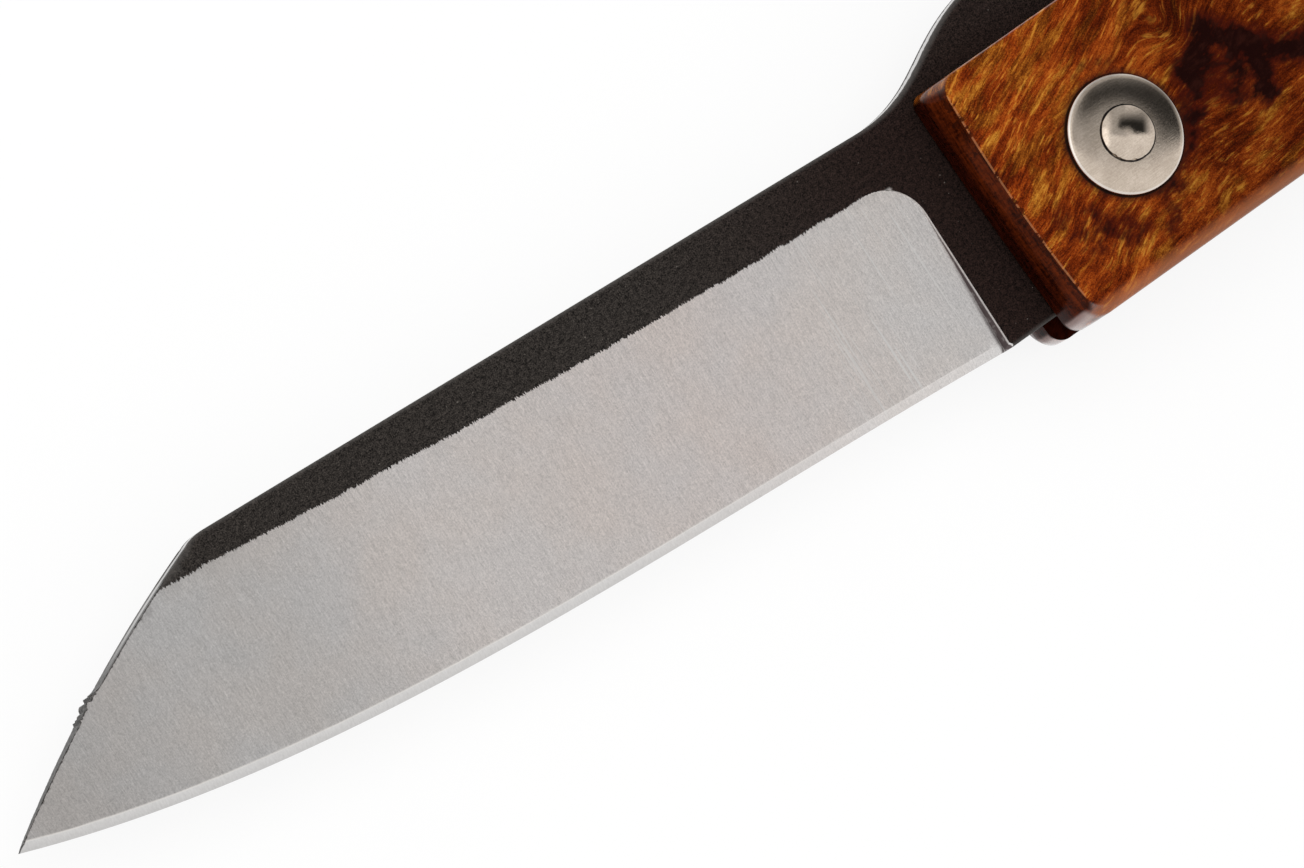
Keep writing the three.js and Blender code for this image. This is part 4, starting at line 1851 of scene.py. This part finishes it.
@dataclass
class HandleScale(SubAssembly):
    """One wooden handle scale, built from rounded outlines stacked along Z.

    Two radii of a front corner are those on the inner and on the outer face.

    Attributes:
        front_crown: How far the front end draws back at its corners.
        top_crown: How much more it does so at the outer face.
        crown_from: Inner face to where corners and crown begin to change.
        arris_radius: Rounding of the front bevel's upper edge.
        front_slope: How much steeper the grain lies at the front.
        slope_turns: Where that changes, at the belly and at the back.
        knot: Middle of a swirl in the grain.
        side_steps: Places along the belly, the butt, the back and the front.
        inner_levels: Heights of outlines over the inner face.
        outer_levels: Depths of outlines under the outer face.
    """

    face: Face
    figure: Figure
    butt_x: float = 96.5
    front_crown: float = 0.15
    top_crown: float = 0.3
    front_back_radii: Point = (0.8, 1.2)
    front_belly_radii: Point = (1.1, 1.45)
    crown_from: float = 1.0
    back_edge_radius: float = 0.3
    belly_edge_radius: float = 0.8
    butt_edge_radius: float = 0.6
    bevel_depth: float = 0.4
    arris_radius: float = 0.07
    grain_slope: float = -0.02
    front_slope: float = 0.45
    slope_ease: float = 2.4
    slope_turns: Point = (3.0, 12.0)
    knot: Point = (6.6, 4.0)
    knot_radius: float = 1.7
    knot_lift: float = 1.5
    corner_steps: int = 14
    side_steps: tuple[int, int, int, int] = (170, 12, 170, 26)
    inner_levels: tuple[float, ...] = (0.0, 0.5, 1.4)
    outer_levels: tuple[float, ...] = (1.3, 1.05)
    top_spacing: float = 0.55
    inner_spacing: float = 2.0
    round_levels: int = 14

    def _edge_inset(self, height: float, radius: float) -> float:
        """How far a rounded outer edge draws in at a height over the middle plane."""
        rise = height - (self.sizes.handle_half - radius)
        return radius - math.sqrt(max(radius**2 - max(rise, 0.0) ** 2, 0.0))

    def _outward(self, heights: Rows) -> Rows:
        """Share of the outer face's roundings at heights over the middle plane."""
        return smooth(heights, self.sizes.slot_half + self.crown_from, self.sizes.handle_half)

    def _front_at(self, heights: Rows) -> Rows:
        """Find the middle of the front end at heights over the middle plane.

        Args:
            heights: The heights.

        Returns:
            Its places along the handle.
        """
        top, tall = self.sizes.handle_half, self.sizes.front_bevel_height
        bevel = np.clip((heights - (top - tall)) / tall, 0, 1) * self.bevel_depth
        rise = np.clip(heights - (top - self.arris_radius), 0, self.arris_radius)
        arris = self.arris_radius - np.sqrt(self.arris_radius**2 - rise**2)
        return -self.sizes.front_reach + bevel + arris

    def _crown_at(self, heights: Rows, y: Rows) -> Rows:
        """How far the front end draws back from its middle towards its corners.

        Args:
            heights: Heights over the middle plane.
            y: Places across the handle.

        Returns:
            One length for each.
        """
        back, belly = self.sizes.back_height, self.sizes.belly_depth
        share = (y - (back - belly) / 2) / ((back + belly) / 2)
        return (self.front_crown + self.top_crown * self._outward(heights)) * share**2

    def _ring(self, height: float) -> Rows:
        """Outline of the scale at one height.

        Args:
            height: Height over the middle plane.

        Returns:
            Rows of x, y, counterclockwise, as many at every height.
        """
        front, share = self._front_at(height), self._outward(height)
        butt = self.butt_x - self._edge_inset(height, self.butt_edge_radius)
        back = self.sizes.back_height - self._edge_inset(height, self.back_edge_radius)
        belly = -self.sizes.belly_depth + self._edge_inset(height, self.belly_edge_radius)
        front_radii = (self.front_belly_radii, self.front_back_radii)
        at_belly, at_back = (inner + (outer - inner) * share for inner, outer in front_radii)
        corners = (
            ((front, belly), at_belly, 180.0),
            ((butt, belly), self.sizes.butt_belly_radius, 270.0),
            ((butt, back), self.sizes.butt_back_radius, 0.0),
            ((front, back), at_back, 90.0),
        )
        middle = np.array([(front + butt) / 2, (back + belly) / 2])
        arcs = []
        for corner, radius, start in corners:
            centre = corner + np.sign(middle - corner) * radius
            turns = np.linspace(start, start + 90.0, self.corner_steps)
            arcs.append(centre + np.array([polar(radius, turn) for turn in turns]))
        rows = []
        for arc, following, count in zip(arcs, arcs[1:] + arcs[:1], self.side_steps):
            shares = np.linspace(0, 1, count + 1)[1:-1, None]
            rows += [arc, arc[-1] + (following[0] - arc[-1]) * shares]
        ring = np.vstack(rows)
        near = 1 - smooth(ring[:, 0] - front, 0.6, 3.0)
        ring[:, 0] += near * self._crown_at(height, ring[:, 1])
        return ring

    def _levels(self) -> list[float]:
        """Heights of the stacked outlines.

        Returns:
            The heights over the middle plane, from the inner face to the outer face.
        """
        low, top = self.sizes.slot_half, self.sizes.handle_half
        turns = np.linspace(0, math.pi / 2, self.round_levels)
        rounded = top - self.belly_edge_radius * (1 - np.sin(turns))
        arris = top - self.arris_radius * (1 - np.sin(turns[::4]))
        steady = [low + rise for rise in self.inner_levels]
        steady += [top - fall for fall in (self.sizes.front_bevel_height, *self.outer_levels)]
        return sorted({round(float(z), 5) for z in (*steady, *rounded, *arris)})

    def grain(self, points: Rows) -> Rows:
        """Coordinates along, across and through the grain, which lies steeper at the front.

        Args:
            points: Rows of x, y, z.

        Returns:
            Rows of grain coordinates.
        """
        x, y, z = points.T
        steeper, ease = self.front_slope, self.slope_ease
        turn_low, turn_high = self.slope_turns
        low, high = (
            steeper * (turn - turn_low) - steeper * ease * np.log1p(np.exp(-(x - turn) / ease))
            for turn in self.slope_turns
        )
        upper = smooth(y, -4.0, 8.0)
        lift = self.grain_slope * x + low * (1 - upper) + high * upper
        tilt = self.grain_slope + steeper / (1 + np.exp((x - turn_low) / ease))
        away = (x - self.knot[0]) ** 2 + (y - self.knot[1]) ** 2
        knot = self.knot_lift * np.exp(-away / self.knot_radius**2)
        return np.column_stack([x + tilt * y, y - lift + knot, z])

    def heart(self, points: Rows) -> Rows:
        """Darkness of the heart figure at points."""
        return np.maximum.reduce([vein.shade(points[:, :2]) for vein in self.figure.hearts])

    def front(self, points: Rows) -> Rows:
        """Distance behind the front end's surface."""
        heights = np.abs(points[:, 2])
        return points[:, 0] - self._front_at(heights) - self._crown_at(heights, points[:, 1])

    def mesh(self) -> bpy.types.Object:
        """Make the scale's mesh.

        Returns:
            The bare piece.
        """
        sign, levels = self.face.value, self._levels()
        rings = [self._ring(z) for z in levels]
        holes = [self.sizes.pivot_bore(), *self.sizes.rivet_bores()]
        skin = Skin(self.datum)
        tops = skin.cap(Sheet.fill(rings[-1], holes, [], self.top_spacing), sign * levels[-1])
        lows = skin.cap(Sheet.fill(rings[0], holes, [], self.inner_spacing), sign * levels[0], flip=True)
        between = [skin.row(ring, sign * z) for ring, z in zip(rings[1:-1], levels[1:-1])]
        rows = [lows[0], *between, tops[0]]
        for lower, upper in zip(rows, rows[1:]):
            skin.bridge(lower, upper)
        for upper, lower in zip(tops[1:], lows[1:]):
            skin.bridge(upper, lower)
        notes = {"grain": self.grain, "heart": self.heart, "front": self.front}
        return skin.mesh(f"{self.face.side}_wood_scale", 50.0, notes)

    def build(self) -> list[bpy.types.Object]:
        """Make and dress the scale.

        Returns:
            The piece.
        """
        side = self.face.side
        wood = FiguredWood(self.sizes, self.figure.veins_from)
        finish = wood.material(f"figured_wood_{side}", self.datum)
        return [self.hand_over(self.mesh(), finish, Body.HANDLE, f"{side}_scale", Slot.SCALE)]


@dataclass
class Spacer(SubAssembly):
    """The steel strap and butt block between the scales.

    Attributes:
        edge_room: Folded edge to the strap.
        tip_room: Folded tip to the butt block.
        strap_front_room: The tang's neck to the strap's front end.
    """

    forging: Forging
    edge_room: float = 0.4
    tip_room: float = 1.5
    block_length: float = 7.7
    strap_front_room: float = 1.2
    block_corner: float = 1.2
    arris: float = 0.06
    outline_step: float = 0.8
    face_spacing: float = 1.6

    def _folded(self, point: Rows) -> Rows:
        """Place of a point of the blade once it is folded, lifted by the room under the strap."""
        along, across = polar(1.0, 180.0 + self.forging.spine_rise_degrees)
        return np.array([[along, -across], [across, along]]) @ point + np.array([0.0, self.edge_room])

    def outline(self) -> Rows:
        """Draw the outline: the strap's underside follows the folded cutting edge.

        Returns:
            Rows of x, y, clockwise.
        """
        forging = self.forging
        edge = (forging.heel, *forging.edge_controls(), forging.tip)
        heel, heel_control, tip_control, tip = (self._folded(point) for point in edge)
        block_x = forging.blade_reach + self.tip_room
        butt_x = block_x + self.block_length
        front_x = forging.neck_behind + self.strap_front_room
        low, top = -self.sizes.belly_depth, self.sizes.back_height
        foot, butt_foot, butt_top, front_top = (
            np.array(place) for place in ((block_x, low), (butt_x, low), (butt_x, top), (front_x, top))
        )
        pen = Pen(self.outline_step).place((front_x, heel[1])).line(heel)
        pen.cubic(heel_control, tip_control, tip)
        pen.corner(tip, np.array([block_x, tip[1]]), foot, min(self.block_corner, self.tip_room))
        pen.line(foot).corner(foot, butt_foot, butt_top, self.sizes.butt_belly_radius)
        pen.corner(butt_foot, butt_top, front_top, self.sizes.butt_back_radius)
        pen.line(front_top).line((front_x, heel[1]))
        return pen.outline().points[::-1]

    def mesh(self) -> bpy.types.Object:
        """Make the spacer's mesh.

        Returns:
            The bare piece.
        """
        outline = self.outline()
        seams = inset_line(closed(outline), outline, self.arris)
        sheet = Sheet.fill(outline, self.sizes.rivet_bores(), seams, self.face_spacing)
        near = np.minimum(distance_to_line(sheet.points, closed(outline)), self.arris)
        heights = self.sizes.slot_half - self.arris + near
        skin = Skin(self.datum)
        for upper, lower in zip(skin.cap(sheet, heights), skin.cap(sheet, -heights, flip=True)):
            skin.bridge(upper, lower)
        return skin.mesh("steel_spacer", 28.0)

    def build(self) -> list[bpy.types.Object]:
        """Make and dress the spacer.

        Returns:
            The piece.
        """
        steel = BrushedMetal("brushed_steel", ((0.36, 0.35, 0.335), (0.52, 0.51, 0.49)), (0.28, 0.45))
        finish = steel.material(self.datum)
        return [self.hand_over(self.mesh(), finish, Body.HANDLE, "backspacer", Slot.SPACER)]


@dataclass(frozen=True)
class Nick:
    """A small nick in a turned rim, with its place and half its width in degrees."""

    degrees: float
    half_width: float
    depth: float


@dataclass
class Turning:
    """A piece turned about an axis along Z.

    Attributes:
        profile: Closed or axis-to-axis line of radius and height, from the bottom outwards.
        node: The CAD node that it stands for.
        sides: How many faces go round.
    """

    datum: Datum
    name: str
    profile: Sequence[Point]
    node: str
    slot: Slot
    axis: Point = (0.0, 0.0)
    sides: int = 128
    nicks: tuple[Nick, ...] = ()

    def mesh(self) -> bpy.types.Object:
        """Make the turned mesh.

        Returns:
            The bare piece.
        """
        skin = Skin(self.datum)
        angles = np.arange(self.sides) * math.tau / self.sides
        dents = self._dents(angles)
        widest = max(radius for radius, _ in self.profile)
        rows = []
        for radius, height in self.profile:
            if radius < SAME_PLACE:
                rows.append(skin.row(np.array([self.axis]), height) * self.sides)
                continue
            reach = radius - dents * (radius / widest) ** 8
            ring = np.column_stack([reach * np.cos(angles), reach * np.sin(angles)])
            rows.append(skin.row(ring + np.array(self.axis), height))
        runs_round = self.profile[0][0] > SAME_PLACE
        for lower, upper in zip(rows, rows[1:] + rows[: int(runs_round)]):
            skin.bridge(lower, upper)
        return skin.mesh(self.name, 38.0)

    def _dents(self, angles: Rows) -> Rows:
        """Depth of the nicks at each angle.

        Args:
            angles: The angles.

        Returns:
            One depth for each.
        """
        total = np.zeros(len(angles))
        for nick in self.nicks:
            away = np.abs((np.degrees(angles) - nick.degrees + 180) % 360 - 180)
            total += nick.depth * (1 - smooth(away, 0.3 * nick.half_width, nick.half_width))
        return total


@dataclass
class PivotSet(SubAssembly):
    """The peened pin, its domed washers, the friction washers and the rivets.

    Attributes:
        washer_bend: Power of a domed washer's curve, which stays level longer than the even one.
        rim_degrees: How far round a domed washer's rim goes before the dome takes over.
    """

    washer_bend: float = 4.0
    head_bend: float = 2.4
    head_ease: float = 0.07
    friction_ease: float = 0.03
    rim_degrees: float = 78.0
    dome_steps: int = 16
    rim_steps: int = 6
    nicks: tuple[Nick, ...] = (
        Nick(247.0, 7.0, 0.07),
        Nick(203.0, 6.0, 0.06),
        Nick(215.0, 4.0, 0.03),
        Nick(268.0, 5.0, 0.03),
    )

    def _pin(self) -> list[Point]:
        """Profile of the pin with both its heads.

        Returns:
            Rows of radius and height, from end to end.
        """
        s, ease = self.sizes, self.head_ease
        head = [(s.pin_radius, s.head_seat), (s.head_radius - ease / 2, s.head_seat)]
        head.append((s.head_radius, s.head_seat + ease / 2))
        for i in range(self.dome_steps + 1):
            radius = (s.head_radius - 0.02) * math.cos(i / self.dome_steps * math.pi / 2)
            rise = s.head_dome * (1 - (radius / s.head_radius) ** self.head_bend)
            head.append((radius, s.head_seat + s.head_edge + rise))
        head[-1] = (0.0, head[-1][1])
        return [(r, -z) for r, z in reversed(head)] + head

    def _washer(self, sign: int) -> list[Point]:
        """Closed profile of a domed washer, with a rounded rim.

        Args:
            sign: 1 for the front one and -1 for the back one.

        Returns:
            Rows of radius and height.
        """
        s = self.sizes
        base, rim = s.handle_half, s.washer_rim
        profile = [(s.hole_radius, base), (s.washer_radius - 0.05, base), (s.washer_radius, base + 0.04)]
        for i in range(self.rim_steps + 1):
            turn = i / self.rim_steps * math.radians(self.rim_degrees)
            radius = s.washer_radius - rim * (1 - math.cos(turn))
            profile.append((radius, base + s.washer_edge - rim * (1 - math.sin(turn))))
        inner = profile[-1][0]
        for i in range(1, self.dome_steps + 1):
            radius = inner + (s.hole_radius - inner) * i / self.dome_steps
            fall = 1 - (radius / s.washer_radius) ** self.washer_bend
            profile.append((radius, base + s.washer_edge + s.washer_dome * fall))
        return [(r, sign * z) for r, z in profile]

    def _friction(self, sign: int) -> list[Point]:
        """Closed profile of a friction washer.

        Args:
            sign: 1 for the front one and -1 for the back one.

        Returns:
            Rows of radius and height.
        """
        s, ease = self.sizes, self.friction_ease
        low = s.stock_half + s.friction_gap
        high = low + s.friction_thickness
        profile = [
            (s.hole_radius, low),
            (s.friction_radius - ease, low),
            (s.friction_radius, low + ease),
            (s.friction_radius, high - ease),
            (s.friction_radius - ease, high),
            (s.hole_radius, high),
        ]
        return [(r, sign * z) for r, z in profile]

    def _rivet(self) -> list[Point]:
        """Profile of a flush rivet.

        Returns:
            Rows of radius and height, from end to end.
        """
        s = self.sizes
        face, half, chamfer = s.rivet_radius - s.rivet_chamfer, s.handle_half, s.rivet_chamfer
        upper = [
            (s.rivet_radius, half - chamfer),
            (face + 0.4 * chamfer, half - 0.2 * chamfer),
            (0.8 * face, half),
            (0.0, half),
        ]
        return [(r, -z) for r, z in reversed(upper)] + upper

    def turnings(self) -> list[Turning]:
        """List what is turned.

        Returns:
            The turnings.
        """
        turn = partial(Turning, self.datum)
        made = [turn("peened_pivot", self._pin(), "pivot_pin", Slot.PIVOT, nicks=self.nicks)]
        for face in Face:
            side, washer, ring = face.side, self._washer(face.value), self._friction(face.value)
            made.append(turn(f"{side}_dome", washer, f"{side}_domed_washer", Slot.PIVOT, sides=192))
            made.append(turn(f"{side}_bronze_ring", ring, f"{side}_friction_washer", Slot.BRONZE))
        for label, axis in (("middle", self.sizes.middle_pin), ("rear", self.sizes.rear_pin)):
            rivet = turn(f"{label}_rivet", self._rivet(), f"{label}_spacer_pin", Slot.PIN, axis, sides=64)
            made.append(rivet)
        return made

    def finishes(self) -> dict[Slot, bpy.types.Material]:
        """Draw the finishes of the turned pieces.

        Returns:
            The material of each slot.
        """
        rim = self.sizes.washer_radius - self.sizes.washer_rim
        nickel = PolishedNickel(seat=self.sizes.head_radius, rim=rim)
        rivets = PolishedNickel(((0.6, 0.56, 0.52), (0.7, 0.67, 0.63)), (0.16, 0.3))
        bronze = BrushedMetal("rolled_bronze", ((0.38, 0.21, 0.08), (0.55, 0.34, 0.14)), (0.3, 0.45))
        return {
            Slot.PIVOT: nickel.material("polished_nickel", self.datum),
            Slot.PIN: rivets.material("rivet_metal", self.datum),
            Slot.BRONZE: bronze.material(self.datum),
        }

    def build(self) -> list[bpy.types.Object]:
        """Make and dress every turned piece.

        Returns:
            The pieces.
        """
        finishes = self.finishes()
        return [
            self.hand_over(part.mesh(), finishes[part.slot], Body.HANDLE, part.node, part.slot)
            for part in self.turnings()
        ]


@dataclass(frozen=True)
class PhotoCamera:
    """Long-lens camera at the photograph's viewing angle.

    Attributes:
        distance: Camera to the aim, along its line of sight.
        aim_pixel: Where the aim shows in the image.
        aim_height: Height of the aim on the pivot axis, over the middle plane.
        tilt_degrees: Line of sight away from vertical.
        turn_degrees: Turn of that tilt from the blade's direction.
    """

    image: tuple[int, int] = (1304, 868)
    focal_pixels: float = 12900.0
    sensor: float = 36.0
    distance: float = 826.923
    aim_pixel: Point = (1124.434, 135.042)
    aim_height: float = 5.4
    tilt_degrees: float = 22.214
    turn_degrees: float = 2.379
    roll_degrees: float = -34.856

    def build(self, datum: Datum) -> bpy.types.Object:
        """Set up the camera.

        Args:
            datum: Where the drawing stands.

        Returns:
            The scene's camera.
        """
        tilt, azimuth = math.radians(self.tilt_degrees), math.radians(180 - self.turn_degrees)
        flat = math.sin(tilt)
        towards = Vector((flat * math.cos(azimuth), flat * math.sin(azimuth), math.cos(tilt)))
        level = Vector((0, 1, 0)).cross(towards).normalized()
        upright = towards.cross(level)
        roll = math.radians(self.roll_degrees)
        right = math.cos(roll) * level + math.sin(roll) * upright
        up = math.cos(roll) * upright - math.sin(roll) * level
        across, down = (
            (pixel - size / 2) / self.focal_pixels for pixel, size in zip(self.aim_pixel, self.image)
        )
        ray = across * right - down * up - towards
        aim = datum.pivot + Vector((0, 0, self.aim_height * MM))
        data = bpy.data.cameras.new("photo_camera")
        data.sensor_fit = "HORIZONTAL"
        data.sensor_width = self.sensor
        data.lens = self.focal_pixels / self.image[0] * self.sensor
        data.clip_start = 0.01
        data.clip_end = 50.0
        camera = bpy.data.objects.new("photo_camera", data)
        bpy.context.scene.collection.objects.link(camera)
        turned = Matrix((right, up, towards)).transposed().to_4x4()
        camera.matrix_world = Matrix.Translation(aim - ray * self.distance * MM) @ turned
        bpy.context.scene.camera = camera
        return camera


@dataclass(frozen=True)
class Studio:
    """Pale table, soft surroundings and a large soft lamp, in metres and watts.

    Attributes:
        table_glow: Share of plain white in what eye and reflections see of the table.
        dusk: Radiance of the dark gaps beside the soft box.
        window: Radiance of the bright opening over the blade's side.
        image_axes: Directions across and along the image, in which gaps and opening lie.
    """

    table_size: float = 6.0
    table_colour: Pair = ((0.86, 0.86, 0.855), (0.8858, 0.8858, 0.88065))
    table_glow: float = 0.86
    surround: float = 0.95
    dusk: float = 0.03
    window: float = 1.6
    image_axes: tuple[Triple, Triple] = ((0.545, 0.838, 0.0), (0.798, -0.602, 0.0))
    lamp_size: float = 0.5
    lamp_place: Triple = (0.12, 0.18, 0.7)
    lamp_power: float = 2.2

    def table(self) -> bpy.types.Object:
        """Make the table, white for the camera and in reflections.

        Returns:
            The table.
        """
        half = self.table_size / 2
        corners = [(-half, -half, 0), (half, -half, 0), (half, half, 0), (-half, half, 0)]
        data = bpy.data.meshes.new("table")
        data.from_pydata(corners, [], [(0, 1, 2, 3)])
        table = bpy.data.objects.new("table", data)
        bpy.context.scene.collection.objects.link(table)
        g = Graph(bpy.data.materials.new("pale_table"))
        paper = g.clouds(Clouds(40.0), g.value("ShaderNodeTexCoord", output="Object"))
        diffuse = g.value("ShaderNodeBsdfDiffuse", {"Color": g.tones(paper, self.table_colour, 0.3, 0.7)})
        glow = g.value("ShaderNodeEmission", {"Color": (1.0, 1.0, 1.0), "Strength": 1.0})
        camera, glossy, through = (
            g.value("ShaderNodeLightPath", output=f"Is {ray} Ray")
            for ray in ("Camera", "Glossy", "Transmission")
        )
        seen = g.math("ADD", camera + glossy, through, clamp=True)
        both = g.value("ShaderNodeMixShader", {0: seen * self.table_glow, 1: diffuse, 2: glow})
        g.add("ShaderNodeOutputMaterial", {"Surface": both})
        data.materials.append(g.owner)
        return table

    def world(self) -> bpy.types.World:
        """Make the surroundings: an even pale room with two dark gaps and a bright opening.

        Returns:
            The scene's world.
        """
        g = Graph(bpy.data.worlds.new("soft_room"))
        direction = g.value("ShaderNodeTexCoord", output="Generated")
        upward, sideways = (
            g.vector("DOT_PRODUCT", direction, axis, "Value") for axis in self.image_axes
        )
        starts = upward.rise(0.125, g.blend(sideways.rise(0.30, 0.45), 0.34, 0.205))
        beside = sideways.window((-0.20, 0.15), (0.62, 0.95))
        gap = starts * upward.fall(0.36, 1.0) * beside
        wall = sideways.window((-0.35, -0.10), (0.20, 0.38)) * upward.rise(0.06, 0.15) * 0.5
        shade = g.mix(gap.larger(wall), (self.surround,) * 3, (self.dusk,) * 3)
        opening = sideways.window((-0.75, -0.55), (-0.38, -0.24))
        opening = opening * upward.window((-0.30, -0.15), (0.25, 0.42))
        shade = g.mix(opening, shade, (self.window,) * 3)
        camera = g.value("ShaderNodeLightPath", output="Is Camera Ray")
        colour = g.mix(camera, shade, (1.0, 1.0, 1.0))
        background = g.value("ShaderNodeBackground", {"Color": colour, "Strength": 1.0})
        g.add("ShaderNodeOutputWorld", {"Surface": background})
        bpy.context.scene.world = g.owner
        return g.owner

    def lamp(self) -> bpy.types.Object:
        """Hang the lamp over the knife.

        Returns:
            The lamp.
        """
        data = bpy.data.lights.new("soft_lamp", "AREA")
        data.shape = "SQUARE"
        data.size = self.lamp_size
        data.energy = self.lamp_power
        lamp = bpy.data.objects.new("soft_lamp", data)
        lamp.location = self.lamp_place
        lamp.rotation_euler = (-Vector(self.lamp_place)).to_track_quat("-Z", "Y").to_euler()
        lamp.visible_glossy = False
        bpy.context.scene.collection.objects.link(lamp)
        return lamp

    def build(self) -> None:
        """Set up table, surroundings and lamp."""
        self.table()
        self.world()
        self.lamp()
        bpy.context.scene.view_settings.view_transform = "Standard"


def main() -> None:
    """Build the knife piece by piece."""
    logging.basicConfig(level=logging.INFO, format="%(name)s: %(message)s")
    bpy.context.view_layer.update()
    datum = Datum(Vector(frame["joints"][0]["pos_m"]))
    sizes = Sizes()
    Studio().build()
    PhotoCamera().build(datum)
    forging = Forging(datum, sizes)
    scales = [HandleScale(datum, sizes, face, FIGURES[face]) for face in Face]
    for part in (forging, *scales, Spacer(datum, sizes, forging), PivotSet(datum, sizes)):
        for piece in part.build():
            LOG.info("%s: %d faces", piece.name, len(piece.data.polygons))


if __name__ == "__main__":
    main()
